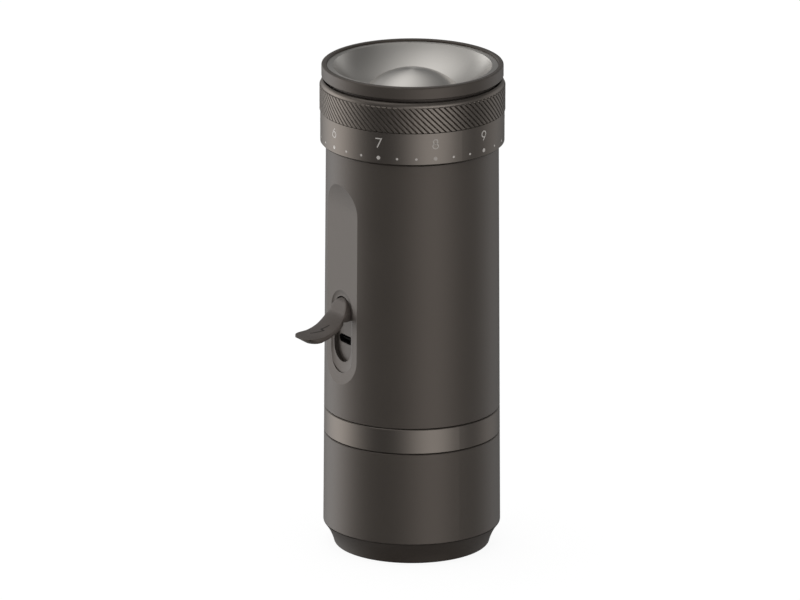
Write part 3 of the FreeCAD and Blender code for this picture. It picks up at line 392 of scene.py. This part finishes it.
def button_ring(away):
    """Outline of the button's hole at a distance from the axis."""
    turn = np.linspace(0.0, 2 * math.pi, HOLE_SIDES, endpoint=False)
    across = BUTTON_HOLE_R * np.cos(turn)
    height = BUTTON_Z + BUTTON_HOLE_R * np.sin(turn)
    return np.stack([across, np.full(HOLE_SIDES, away), height], axis=1) * MM


tube_profile = [
    (BORE_R, BODY_LOW),
    (SHELL_LOW_R - TURNED_EDGE, BODY_LOW),
    (SHELL_LOW_R, BODY_LOW + TURNED_EDGE),
    (SHELL_TOP_R, BODY_TOP - TURNED_EDGE),
    (SHELL_TOP_R - TURNED_EDGE, BODY_TOP),
    (NECK_R, BODY_TOP),
    (NECK_R, NECK_TOP - TURNED_EDGE),
    (NECK_R - TURNED_EDGE, NECK_TOP),
    (NECK_BORE_R, NECK_TOP),
    (NECK_BORE_R, SHOULDER_LOW),
    (BORE_R, SHOULDER_LOW),
]
well_slot = (WELL_HALF, WELL_LOW, WELL_TOP)
seat_slot = (WELL_HALF + RIM_WALL, WELL_LOW - RIM_WALL, WELL_TOP + RIM_WALL)
well_hole = loft([slot_ring(*well_slot, upright(INSIDE)), slot_ring(*well_slot, upright(OUTSIDE))])
seat_hole = loft([slot_ring(*seat_slot, upright(INSIDE)), slot_ring(*seat_slot, rim_seat)])
button_hole = loft([button_ring(INSIDE), button_ring(OUTSIDE)])
spring_seat = radial_block(CLICK_ANGLE, CLICK_R, CLICK_HALF, CLICK_LOW, CLICK_TOP)
key_slots = [radial_block(angle, INSIDE, KEY_HALF, KEY_LOW, KEY_TOP) for angle in KEY_ANGLES]
shell = add_piece("shell_tube", [turned_tube(tube_profile, TUBE_SIDES)], body_coat)
mill(shell, [panel_sweep()])
mill(shell, [basin_sweep()])
mill(shell, [button_hole, seat_hole, spring_seat] + key_slots)
mill(shell, [well_hole])
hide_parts("body_shell")
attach(shell, "housing")


# Band and grind ring: turned smooth, then dyed and sealed without blasting, so that they shine more than
# the body. The tool leaves fine lines round them.
SATIN = (0.160, 0.141, 0.125)
SATIN_ROUGH = 0.36
TURNED_SHEEN = (0.85, 0.85, 0.85, 1.0)
TURNED_DULL = 0.9
TURNED_MOTTLE = 60.0
TURNED_LINES = 9000.0
TURNED_LINE_DEEP = 0.00002


def turned_lines(wire, scale):
    """Noise that changes with height alone, for the fine lines that a lathe leaves round a cylinder."""
    where = wire.node("ShaderNodeTexCoord", {}, {}, "Object")
    height = wire.node("ShaderNodeSeparateXYZ", {}, {0: where}, "Z")
    return wire.node("ShaderNodeTexNoise", {"noise_dimensions": "1D"}, {"W": height, "Scale": scale}, "Fac")


def turned_metal(name, colour, roughness, relief):
    """Bare or dyed metal from the lathe: its lines show in gloss and relief, and its colour is uneven."""
    finish, surface, wire = new_finish(name, colour, metallic=1.0, roughness=roughness)
    surface.inputs["Specular Tint"].default_value = TURNED_SHEEN
    dull = tuple(TURNED_DULL * part for part in colour)
    lines = turned_lines(wire, TURNED_LINES)
    between(wire, speckle(wire, TURNED_MOTTLE), dull, colour).feeds(surface, "Base Color")
    (roughness - 0.04 + 0.08 * lines).feeds(surface, "Roughness")
    bump(wire, lines, TURNED_LINE_DEEP, relief).feeds(surface, "Normal")
    return finish


satin_metal = turned_metal("satin_metal", SATIN, SATIN_ROUGH, relief=0.06)
dress(satin_metal, "band_ring", "adjusting_ring", "grip_band")


# Seals: rings of pale silicone, each moulded in one piece and slipped into its groove. One sits round the
# cup's neck, one under the lid and one round the drive shaft.
SEAL_GREY = (0.30, 0.29, 0.28)
dress(moulded("seal_silicone", SEAL_GREY, roughness=0.5, grain=0.1), "cup_seal", "lid_seal", "shaft_seal")


# Inner mouldings: glass-filled nylon in black, from a lightly etched mould. They hold the burrs, the gears,
# the motor and the cells, and the hopper's edge shows as the dark line under the lid.
NYLON_BLACK = (0.022, 0.0175, 0.015)
dark_nylon = moulded("dark_nylon", NYLON_BLACK, roughness=0.5, grain=0.25)
dress(dark_nylon, "base_plate", "hopper", "lid_plug", "burr_housing", "chute", "burr_carrier",
      "sweep_paddle", "gearbox_cover", "motor_cap", "cell_cradle", "power_switch")


# Charging well: a tub moulded in plastic of the body's colour, which closes the opening in the panel. A
# flange holds it inside the tube, and a shelf on it carries the charging board.
WELL_GREY = (0.058, 0.050, 0.043)
dress(moulded("port_plastic", WELL_GREY, roughness=0.42, grain=0.15), "port_insert")


# Charging socket: a shell drawn from thin steel round a black contact tongue. It stands on
# the charging board, behind the well. Shell and tongue are near black and almost without gloss: the tongue's
# black is its own colour, and the shell's is painted shade for the dark mouth of the socket.
SOCKET_BLACK_AND_SHADE = (0.004, 0.004, 0.004)
SOCKET_GRAIN = 2500.0
socket_steel, surface, wire = new_finish("socket_steel", SOCKET_BLACK_AND_SHADE, metallic=0.0, roughness=0.9)
# Gloss is nearly taken away, so that the shell shows as painted shade.
surface.inputs["Specular IOR Level"].default_value = 0.1
(0.8 + 0.12 * speckle(wire, SOCKET_GRAIN)).feeds(surface, "Roughness")
dress(socket_steel, "charging_socket")


# Flap: soft rubber moulded in one piece, bent open. A peg holds its root in the well, a groove lets it
# bend, a pad under the tongue shuts the well, and a thin lip at the tip takes a fingernail.
FLAP_FACE = [(30.7, 100.9), (31.5, 99.9), (32.2, 98.5), (32.95, 97.0), (33.9, 95.3), (35.7, 93.4),
             (37.9, 91.8), (41.0, 90.2), (44.5, 89.2), (50.2, 88.45)]
FLAP_UNDER = [(0.0, 29.45, 100.9), (4.2, 29.45, 97.0), (6.6, 29.45, 93.4), (7.2, 32.7, 92.9),
              (7.8, 34.0, 93.1), (8.1, 34.4, 91.8), (12.0, 36.6, 89.95), (15.9, 40.1, 88.05),
              (19.9, 43.9, 86.8), (23.0, 47.8, 86.4), (23.5, 48.6, 87.5), (24.6, 49.7, 87.6)]
FLAP_ROOT_HALF = 5.5
FLAP_HALF = 6.1
FLAP_ROOT_TOP = 100.95
FLAP_TIP = 50.4
FLAP_CORNER = 5.0
FLAP_EDGE = 0.3
FLAP_CROWN = 0.7
PAD_END = 23.2
PAD_CORNER = 3.4
FLAP_WIDENS_AT = 33.0
FLAP_WIDENS_OVER = 3.0
FLAP_SQUARE = 2.3
ROUND_MOST = 0.97
CROWN_START = 5.0
CROWN_RISE = 8.0
CROWN_END = 23.0
CROWN_FADE = 5.0
CROWN_MOST = 0.4
FLAP_SLICES = 110
SLICE_CORNER_STEPS = 4
SLICE_FLAT_STEPS = 9
FACE_STEPS = 400
FACE_FINE_STEPS = 2000
FLAP_GREY = (0.068, 0.057, 0.050)


def smooth_path(corners, count):
    """Points at even distances on a smooth curve through the corners, and the distances."""
    corners = np.array(corners)
    knots = np.concatenate([[0.0], np.cumsum(np.hypot(*np.diff(corners, axis=0).T))])
    slopes = np.gradient(corners, knots, axis=0)
    fine = np.linspace(0.0, knots[-1], FACE_FINE_STEPS)
    span = np.clip(np.searchsorted(knots, fine) - 1, 0, len(knots) - 2)
    reach = (knots[span + 1] - knots[span])[:, None]
    share = (fine - knots[span])[:, None] / reach
    near = (1 + 2 * share) * (1 - share) ** 2 * corners[span]
    near += share * (1 - share) ** 2 * reach * slopes[span]
    far = share ** 2 * (3 - 2 * share) * corners[span + 1]
    far += share ** 2 * (share - 1) * reach * slopes[span + 1]
    curve = near + far
    along = np.concatenate([[0.0], np.cumsum(np.hypot(*np.diff(curve, axis=0).T))])
    stations = np.linspace(0.0, along[-1], count)
    return stations, np.stack([np.interp(stations, along, curve[:, axis]) for axis in (0, 1)], axis=1)


def flap_half(away, height):
    """Half the flap's width: round at the top of its root, squared off with round corners at its tip."""
    share = np.clip((away - FLAP_WIDENS_AT) / FLAP_WIDENS_OVER, 0.0, 1.0)
    half = FLAP_ROOT_HALF + (FLAP_HALF - FLAP_ROOT_HALF) * share * share * (3 - 2 * share)
    rise = np.clip((height - FLAP_ROOT_TOP + FLAP_ROOT_HALF) / FLAP_ROOT_HALF, 0.0, ROUND_MOST)
    tip = np.clip((away - FLAP_TIP + FLAP_CORNER) / FLAP_CORNER, 0.0, ROUND_MOST)
    return half * np.sqrt(1 - rise ** 2) * (1 - tip ** FLAP_SQUARE) ** (1 / FLAP_SQUARE)


def flap_crown(along, across):
    """How far the face falls away from its middle line, at a share of its half width."""
    rise = np.clip((along - CROWN_START) / CROWN_RISE, 0.0, 1.0)
    fade = np.clip((CROWN_END - along) / CROWN_FADE, 0.0, 1.0)
    return FLAP_CROWN * (rise * fade) * across ** 2


def rounded_slice(edge):
    """Corners of a slice of the flap: shares across and down, and how far its edge draws each one in."""
    turn = np.linspace(0.0, math.pi / 2, SLICE_CORNER_STEPS)
    flat = np.linspace(-1.0, 1.0, SLICE_FLAT_STEPS)[1:-1]
    corner = [(1.0, 0.0, 1 - math.sin(angle), 1 - math.cos(angle)) for angle in turn]
    rows = [(spot, 0.0, 0.0, 0.0) for spot in flat]
    rows += corner
    rows += [(1.0, 1.0, inward, down) for *_, inward, down in corner[::-1]]
    rows += [(-spot, 1.0, 0.0, 0.0) for spot in flat]
    rows += [(-1.0, 1.0, inward, down) for *_, inward, down in corner]
    rows += [(-1.0, 0.0, inward, down) for *_, inward, down in corner[::-1]]
    across, deep, inward, down = np.array(rows).T
    return across, deep, np.sign(across) * inward * edge, np.where(deep > 0.5, -down, down) * edge


def flap_skin(stations, face, under):
    """Closed skin of the flap: a rounded slice at each station, from its face to its underside."""
    across, deep, inward, down = rounded_slice(FLAP_EDGE)
    rings = []
    for along, top, low in zip(stations, face, under):
        thick = np.hypot(*(low - top))
        fall = np.minimum(flap_crown(along, across), CROWN_MOST * thick) * (1 - deep)
        share = np.clip(deep + (down + fall) / thick, 0.0, 1.0)
        spots = top + (low - top) * share[:, None]
        round_end = np.clip((along - PAD_END + PAD_CORNER) / PAD_CORNER, 0.0, ROUND_MOST)
        if along >= PAD_END:
            round_end = 0.0
        narrowed = 1 - share * (1 - (1 - round_end ** FLAP_SQUARE) ** (1 / FLAP_SQUARE))
        half = np.maximum(narrowed * flap_half(spots[:, 0], spots[:, 1]), 1.1 * FLAP_EDGE)
        wide = np.where(np.abs(across) == 1.0, across * half - inward, across * (half - FLAP_EDGE))
        rings.append(np.stack([wide * MM, -spots[:, 0] * MM, spots[:, 1] * MM], axis=1))
    return loft(rings)


flap_rubber = moulded("flap_rubber", FLAP_GREY, roughness=0.45, grain=0.15, grain_scale=4000.0)
flap_along, flap_face = smooth_path(FLAP_FACE, FACE_STEPS)
under_along, under_away, under_height = np.array(FLAP_UNDER).T
even = np.linspace(0.0, flap_along[-1], FLAP_SLICES)
stations = np.unique(np.concatenate([even, under_along[under_along < flap_along[-1]]]))
face_away = np.interp(stations, flap_along, flap_face[:, 0])
face_height = np.interp(stations, flap_along, flap_face[:, 1])
face = np.stack([face_away, face_height], axis=1)
away_below = np.interp(stations, under_along, under_away)
height_below = np.interp(stations, under_along, under_height)
under = np.stack([away_below, height_below], axis=1)
flap = add_piece("flap_skin", [flap_skin(stations, face, under)], flap_rubber)
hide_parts("port_flap")
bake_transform(flap)


# Charging sign: a small bolt pressed into the flap's face in the mould. It is drawn as a near black stroke a
# hair
# proud of the face: painted shade for the shaded edges of the pressed bolt.
SIGN_SHADE_BLACK = (0.012, 0.010, 0.009)
SIGN_STROKE = 0.6
SIGN_PATH = [(1.7, 11.8), (0.35, 15.0), (2.1, 15.1), (-0.6, 19.4)]
STROKE_LIFT = 0.03
STROKE_SINK = 0.05


def on_flap(across, along, lift):
    """Points of the flap's face from their distances across it and along it, in millimetres."""
    away = np.interp(along, flap_along, flap_face[:, 0])
    height = np.interp(along, flap_along, flap_face[:, 1])
    out = np.interp(along, flap_along, np.gradient(flap_face[:, 0], flap_along))
    up = np.interp(along, flap_along, np.gradient(flap_face[:, 1], flap_along))
    lift = lift - flap_crown(along, across / FLAP_HALF)
    return np.stack([across * MM, -(away - lift * up) * MM, (height + lift * out) * MM], axis=1)


def finely(corners, steps=8):
    """A path through corners, cut into short steps so that it follows a curved face."""
    path = [corners[0]]
    for here, after in zip(np.array(corners), np.array(corners[1:])):
        path += [tuple(here + (after - here) * step / steps) for step in range(1, steps + 1)]
    return path


def stroke_sides(path, width):
    """Both sides of a pen stroke of one width along a path of points."""
    path = np.array(path)
    steps = np.diff(path, axis=0)
    steps /= np.linalg.norm(steps, axis=1)[:, None]
    ahead = np.concatenate([steps[:1], steps[:-1] + steps[1:], steps[-1:]])
    ahead /= np.linalg.norm(ahead, axis=1)[:, None]
    stretch = np.ones(len(path))
    stretch[1:-1] = 1 / np.clip(np.sum(ahead[1:-1] * steps[1:], axis=1), 0.5, 1.0)
    side = np.stack([-ahead[:, 1], ahead[:, 0]], axis=1) * (stretch * width / 2)[:, None]
    return path + side, path - side


def stroke_skin(path, width, place):
    """Closed skin of one pen stroke, a hair proud of the face; place(across, up, lift) puts points on it."""
    left, right = stroke_sides(path, width)
    edges = ((left, STROKE_LIFT), (right, STROKE_LIFT), (right, -STROKE_SINK), (left, -STROKE_SINK))
    rows = [place(edge[:, 0], edge[:, 1], lift) for edge, lift in edges]
    return loft([np.array(ring) for ring in zip(*rows)])


# The sign's near black is painted shade.
sign_shade = moulded("sign_shade", SIGN_SHADE_BLACK, roughness=0.6, grain=0.1)
sign = add_piece("flap_sign", [stroke_skin(finely(SIGN_PATH), SIGN_STROKE, on_flap)], sign_shade)
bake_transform(sign)


# Grind dial: numbers and dots in pale metal on the grind ring, one dot for each click and a number at every
# third. On the side that faces the camera they are painted darker, towards the ring's tint: painted shade.
RING_R = 34.62
DIGIT_TALL = 3.55
DIGIT_LOW = 164.3
DIGIT_STROKE = 0.44
DIGIT_PITCH = 0.72
BOWL_STEPS = 26
DOT_Z = 160.4
DOT_SMALL = 0.9
DOT_LARGE = 1.5
DOT_SIDES = 24
CLICKS = 30
CLICK_STEP = 12.0
CLICKS_A_NUMBER = 3
FIRST_NUMBER = 90.0
DIAL_PALE = (0.55, 0.52, 0.49)
DIAL_SHADE_TINT = (0.26, 0.23, 0.205)
PAINTED_SHADE_AT = 340.0
PAINTED_SHADE_TIGHT = 60.0
PAINTED_SHADE_GRAIN = 900.0


def bowl(across, up, wide, tall, start, end):
    """Arc of a stroke about a centre, in digit heights."""
    turn = np.radians(np.linspace(start, end, BOWL_STEPS))
    return [(across + wide * math.cos(angle), up + tall * math.sin(angle)) for angle in turn]


DIGITS = {
    "0": [bowl(0.0, 0.5, 0.31, 0.5, 0, 360)],
    "1": [[(-0.14, 0.84), (0.07, 1.0), (0.07, 0.0)]],
    "2": [bowl(0.0, 0.69, 0.3, 0.31, 165, -35) + [(-0.32, 0.0), (0.33, 0.0)]],
    "3": [bowl(0.0, 0.75, 0.25, 0.25, 150, -90), bowl(0.0, 0.28, 0.3, 0.28, 90, -150)],
    "4": [[(0.15, 0.0), (0.15, 1.0), (-0.34, 0.26), (0.34, 0.26)]],
    "5": [[(0.26, 1.0), (-0.2, 1.0), (-0.26, 0.54)] + bowl(-0.01, 0.32, 0.32, 0.32, 138, -148)],
    "6": [bowl(0.0, 0.32, 0.32, 0.32, 0, 360), [(-0.27, 0.49), (0.12, 1.0)]],
    "7": [[(-0.33, 1.0), (0.33, 1.0), (-0.14, 0.0)]],
    "8": [bowl(0.0, 0.755, 0.235, 0.245, 0, 360), bowl(0.0, 0.27, 0.3, 0.27, 0, 360)],
    "9": [bowl(0.0, 0.68, 0.32, 0.32, 0, 360), [(0.27, 0.51), (-0.12, 0.0)]],
}


def around_axis(radius, degrees):
    """Places points on a cylinder round the main axis, from places across and up its unrolled face."""
    def place(across, up, lift):
        angle = math.radians(degrees) + across / radius
        reach = (radius + lift) * MM
        return np.stack([reach * np.cos(angle), reach * np.sin(angle), up * MM], axis=1)
    return place


def dot_skin(size, up, place):
    """Closed skin of one round dot, a hair proud of the ring."""
    turn = np.linspace(0.0, 2 * math.pi, DOT_SIDES, endpoint=False)
    rims = [place(size / 2 * np.cos(turn), up + size / 2 * np.sin(turn), lift)
            for lift in (STROKE_LIFT, -STROKE_SINK)]
    return loft(rims)


def vector_math(wire, operation, first, second=(0.0, 0.0, 0.0)):
    """Vector Math node; a dot product gives a value, and the others give a vector."""
    out = "Value" if operation == "DOT_PRODUCT" else "Vector"
    return wire.node("ShaderNodeVectorMath", {"operation": operation}, {0: first, 1: second}, out)


def rubbed_metal(name, colour, shade_tint):
    """Pale metal, painted darker towards the tint of its surround on the side that faces one way: painted
    shade.
    """
    finish, surface, wire = new_finish(name, colour, metallic=0.3, roughness=0.5)
    place = wire.node("ShaderNodeTexCoord", {}, {}, "Object")
    facing = vector_math(wire, "NORMALIZE", vector_math(wire, "MULTIPLY", place, (1.0, 1.0, 0.0)))
    toward = (math.cos(math.radians(PAINTED_SHADE_AT)), math.sin(math.radians(PAINTED_SHADE_AT)), 0.0)
    near = vector_math(wire, "DOT_PRODUCT", facing, toward)
    # Painted shade: a patch, a little uneven, on the side of the ring that faces the camera.
    shade_patch = wire.math("MAXIMUM", near, 0.0) ** PAINTED_SHADE_TIGHT
    shade_mask = shade_patch * (0.55 + 0.3 * speckle(wire, PAINTED_SHADE_GRAIN))
    between(wire, shade_mask, colour, shade_tint).feeds(surface, "Base Color")
    return finish


dial_metal = rubbed_metal("dial_metal", DIAL_PALE, DIAL_SHADE_TINT)
marks = []
for click in range(CLICKS):
    place = around_axis(RING_R, FIRST_NUMBER + CLICK_STEP * click)
    marks.append(dot_skin(DOT_SMALL if click % CLICKS_A_NUMBER else DOT_LARGE, DOT_Z, place))
for number in range(1, CLICKS // CLICKS_A_NUMBER + 1):
    place = around_axis(RING_R, FIRST_NUMBER + CLICK_STEP * CLICKS_A_NUMBER * (number - 1))
    digits = str(number)
    for spot, digit in enumerate(digits):
        shift = (spot - (len(digits) - 1) / 2) * DIGIT_PITCH
        for path in DIGITS[digit]:
            drawn = [((shift + across) * DIGIT_TALL, DIGIT_LOW + up * DIGIT_TALL) for across, up in path]
            marks.append(stroke_skin(finely(drawn, steps=4), DIGIT_STROKE, place))
dial = add_piece("dial_marks", marks, dial_metal)
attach(dial, "ring")


# Setting mark: a short upright line on the body, under the grind ring, that the dial is read against. It is
# in the same pale metal as the dial.
MARK_R = 32.53
MARK_LOW = 151.5
MARK_TOP = 155.5
MARK_STROKE = 0.7
line = stroke_skin([(0.0, MARK_LOW), (0.0, MARK_TOP)], MARK_STROKE, around_axis(MARK_R, FIRST_NUMBER))
index = add_piece("setting_mark", [line], dial_metal)
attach(index, "housing")


# Lid dish: spun from steel sheet, with a dome in its middle, and turned so that it shines in fans. It is
# pressed into the lid rim.
DISH_DULL = (0.52, 0.50, 0.47)
DISH_BRIGHT = (0.56, 0.54, 0.51)
DISH_MOTTLE = 90.0
dish_steel, surface, wire = new_finish("dish_steel", DISH_DULL, metallic=1.0, roughness=0.34)
surface.inputs["Anisotropic"].default_value = 0.7
surface.inputs["Anisotropic Rotation"].default_value = 0.25
between(wire, speckle(wire, DISH_MOTTLE), DISH_DULL, DISH_BRIGHT).feeds(surface, "Base Color")
dress(dish_steel, "lid_dish")


# Burrs: a toothed cone and a toothed ring round it, both in hardened steel. Their teeth are ground, which
# leaves them bright and a little uneven.
BURR_STEEL = (0.40, 0.40, 0.41)
GROUND_DULL = 0.85
GROUND_MOTTLE = 350.0
GROUND_GRAIN = 1500.0


def ground_metal(name, colour, roughness):
    """Ground or plated metal: uneven in colour and in gloss."""
    finish, surface, wire = new_finish(name, colour, metallic=1.0, roughness=roughness)
    dull = tuple(GROUND_DULL * part for part in colour)
    between(wire, speckle(wire, GROUND_MOTTLE), dull, colour).feeds(surface, "Base Color")
    (roughness - 0.06 + 0.12 * speckle(wire, GROUND_GRAIN)).feeds(surface, "Roughness")
    return finish


dress(ground_metal("burr_steel", BURR_STEEL, roughness=0.32), "inner_burr", "outer_burr")


# Drive train: steel gears with hobbed teeth, and the shafts, bearing and nut that carry the motor's turning
# up to the cone burr. The click spring, a bent steel leaf on the neck, gives the grind ring its steps.
GEAR_STEEL = (0.47, 0.46, 0.45)
gear_steel = ground_metal("gear_steel", GEAR_STEEL, roughness=0.28)
dress(gear_steel, "drive_shaft", "burr_nut", "bearing_inner", "bearing_outer", "bearing_balls", "ring_gear",
      "planet_carrier", "planet_gear_1", "planet_gear_2", "planet_gear_3", "motor_shaft", "click_spring")


# Sun gear and feed keys: machined from brass. The sun gear sits on the motor's shaft, and the three keys
# join the grind ring to the burr carrier through slots in the neck.
BRASS = (0.66, 0.50, 0.22)
dress(ground_metal("brass", BRASS, roughness=0.3), "sun_gear", "feed_keys")


# Motor: a can drawn from plated steel and screwed to a plate, with an iron core that turns inside it. Two
# curved sintered magnets stand against the can's wall.
MOTOR_STEEL = (0.50, 0.50, 0.50)
MAGNET_GREY = (0.08, 0.08, 0.085)
dress(ground_metal("motor_steel", MOTOR_STEEL, roughness=0.25), "motor_can", "motor_plate", "armature")
dress(ground_metal("sintered_magnet", MAGNET_GREY, roughness=0.6), "motor_magnets")


# Screws: steel with socket heads, zinc plated. They hold the base plate, the gear case under the grinding
# chamber, and the motor on its plate.
SCREW_STEEL = (0.36, 0.36, 0.37)
screw_steel = ground_metal("screw_steel", SCREW_STEEL, roughness=0.3)
dress(screw_steel, "base_screws", "gearbox_screws", "motor_screws")


# Cells: three round cells with crimped tops, each in blue shrink wrap. They stand beside the motor, in a
# moulded cradle that holds them at both ends.
WRAP_BLUE = (0.06, 0.16, 0.32)
WRAP_DARK = (0.05, 0.14, 0.28)
WRAP_PALE = (0.065, 0.17, 0.34)
WRAP_MOTTLE = 120.0
cell_wrap, surface, wire = new_finish("cell_wrap", WRAP_BLUE, metallic=0.0, roughness=0.28)
between(wire, speckle(wire, WRAP_MOTTLE), WRAP_DARK, WRAP_PALE).feeds(surface, "Base Color")
dress(cell_wrap, "battery_cell_1", "battery_cell_2", "battery_cell_3")


# Boards: glass laminate under green solder mask, with their components soldered on. The small one carries
# the charging socket, and the upright one stands behind the button.
MASK_GREEN = (0.02, 0.09, 0.05)
MASK_DARK = (0.015, 0.07, 0.04)
MASK_PALE = (0.025, 0.11, 0.06)
MASK_MOTTLE = 700.0
solder_mask, surface, wire = new_finish("solder_mask", MASK_GREEN, metallic=0.0, roughness=0.35)
between(wire, speckle(wire, MASK_MOTTLE), MASK_DARK, MASK_PALE).feeds(surface, "Base Color")
dress(solder_mask, "charging_board", "control_board")


# Power button: a round cap turned from metal, flush with the tapered body. A flange keeps it in its hole,
# and a stem reaches to the switch on the board.
BUTTON_GREY = (0.17, 0.15, 0.132)
dress(turned_metal("button_metal", BUTTON_GREY, roughness=0.3, relief=0.1), "power_button")


# Light ring: moulded in milky plastic that lets light through. It is pressed into the body round the
# button, flush with the outside.
MILK_WHITE = (0.55, 0.53, 0.50)
dress(moulded("milky_plastic", MILK_WHITE, roughness=0.3, grain=0.05), "light_ring")


# Studio: dim walls with a large soft white panel at the left, one in front at the right and a smaller one
# behind at the right. Two more hang above, one at the left and one behind. Floor and backdrop are white.
WALLS = 0.16
AMBIENT = 0.47
DIFFUSE_SHARE = 0.5
LAMP_TOP = 2.5
LAMP_TOP_SLOPE = 5.5
LAMP_FADE = 2.6
FLOOR_HALF = 6.0
FLOOR_GREY = (0.7, 0.7, 0.7)
FLOOR_GLOW = 1.14
FLOOR_GLOW_SHARE = 0.8
WHITE = (1.0, 1.0, 1.0, 1.0)


def soft_panel(wire, direction, azimuth, strength, tightness, elevation=0.0):
    """Glow of one lamp panel in a direction; its azimuth is turned from the camera, to the right."""
    turn = CAMERA_AZIMUTH + math.radians(azimuth)
    rise = math.radians(elevation)
    facing = (math.sin(turn) * math.cos(rise), -math.cos(turn) * math.cos(rise), math.sin(rise))
    near = vector_math(wire, "DOT_PRODUCT", direction, facing)
    return strength * wire.math("MAXIMUM", near, 0.0) ** tightness


def studio_glow(wire, direction):
    """Brightness of the studio that the object mirrors: upright panels round it and two above it."""
    level = vector_math(wire, "MULTIPLY", direction, (1.0, 1.0, 0.0))
    flat = vector_math(wire, "NORMALIZE", level)
    spread = vector_math(wire, "DOT_PRODUCT", level, level)
    height = wire.node("ShaderNodeSeparateXYZ", {}, {0: direction}, "Z")
    upper_end = wire.math("MINIMUM", wire.math("MAXIMUM", LAMP_TOP - LAMP_TOP_SLOPE * height, 0.0), 1.0)
    left = soft_panel(wire, flat, azimuth=-111.5, strength=2.54, tightness=5.8)
    front = soft_panel(wire, flat, azimuth=27, strength=1.93, tightness=7.4)
    behind = soft_panel(wire, flat, azimuth=122, strength=0.76, tightness=9.5)
    above = soft_panel(wire, direction, azimuth=-92, strength=0.88, tightness=4.5, elevation=72)
    back = soft_panel(wire, direction, azimuth=-168, strength=0.72, tightness=11.0, elevation=54)
    return WALLS + (left + front + behind) * upper_end * spread ** LAMP_FADE + above + back


def ray(wire, kind):
    """1 for a ray of one kind, 0 for the others."""
    return wire.node("ShaderNodeLightPath", {}, {}, "Is " + kind + " Ray")


world = bpy.data.worlds.new("studio")
world.use_nodes = True
scene.world = world
background = world.node_tree.nodes["Background"]
background.inputs["Color"].default_value = WHITE
air = Wire(world.node_tree)
glow = studio_glow(air, air.node("ShaderNodeTexCoord", {}, {}, "Generated"))
seen = ray(air, "Camera") + ray(air, "Transmission")
light = seen + ray(air, "Glossy") * glow + ray(air, "Diffuse") * (AMBIENT + DIFFUSE_SHARE * glow)
light.feeds(background, "Strength")

floor_mesh = bpy.data.meshes.new("floor")
corners = [(-FLOOR_HALF, -FLOOR_HALF, 0), (FLOOR_HALF, -FLOOR_HALF, 0), (FLOOR_HALF, FLOOR_HALF, 0),
           (-FLOOR_HALF, FLOOR_HALF, 0)]
floor_mesh.from_pydata(corners, [], [(0, 1, 2, 3)])
floor = bpy.data.objects.new("floor", floor_mesh)
scene.collection.objects.link(floor)
floor_white, surface, wire = new_finish("floor_white", FLOOR_GREY, metallic=0.0, roughness=0.9)
surface.inputs["Specular IOR Level"].default_value = 0.0
white = wire.node("ShaderNodeEmission", {}, {"Color": WHITE, "Strength": FLOOR_GLOW})
open_air = wire.node("ShaderNodeBsdfTransparent", {}, {})
plain = Wire(wire.tree, surface.outputs[0])
bright = FLOOR_GLOW_SHARE * (ray(wire, "Camera") + ray(wire, "Transmission"))
shown = wire.node("ShaderNodeMixShader", {}, {0: bright, 1: plain, 2: white})
mirrored = wire.node("ShaderNodeMixShader", {}, {0: ray(wire, "Glossy"), 1: shown, 2: open_air})
mirrored.feeds(floor_white.node_tree.nodes["Material Output"], "Surface")
floor_mesh.materials.append(floor_white)
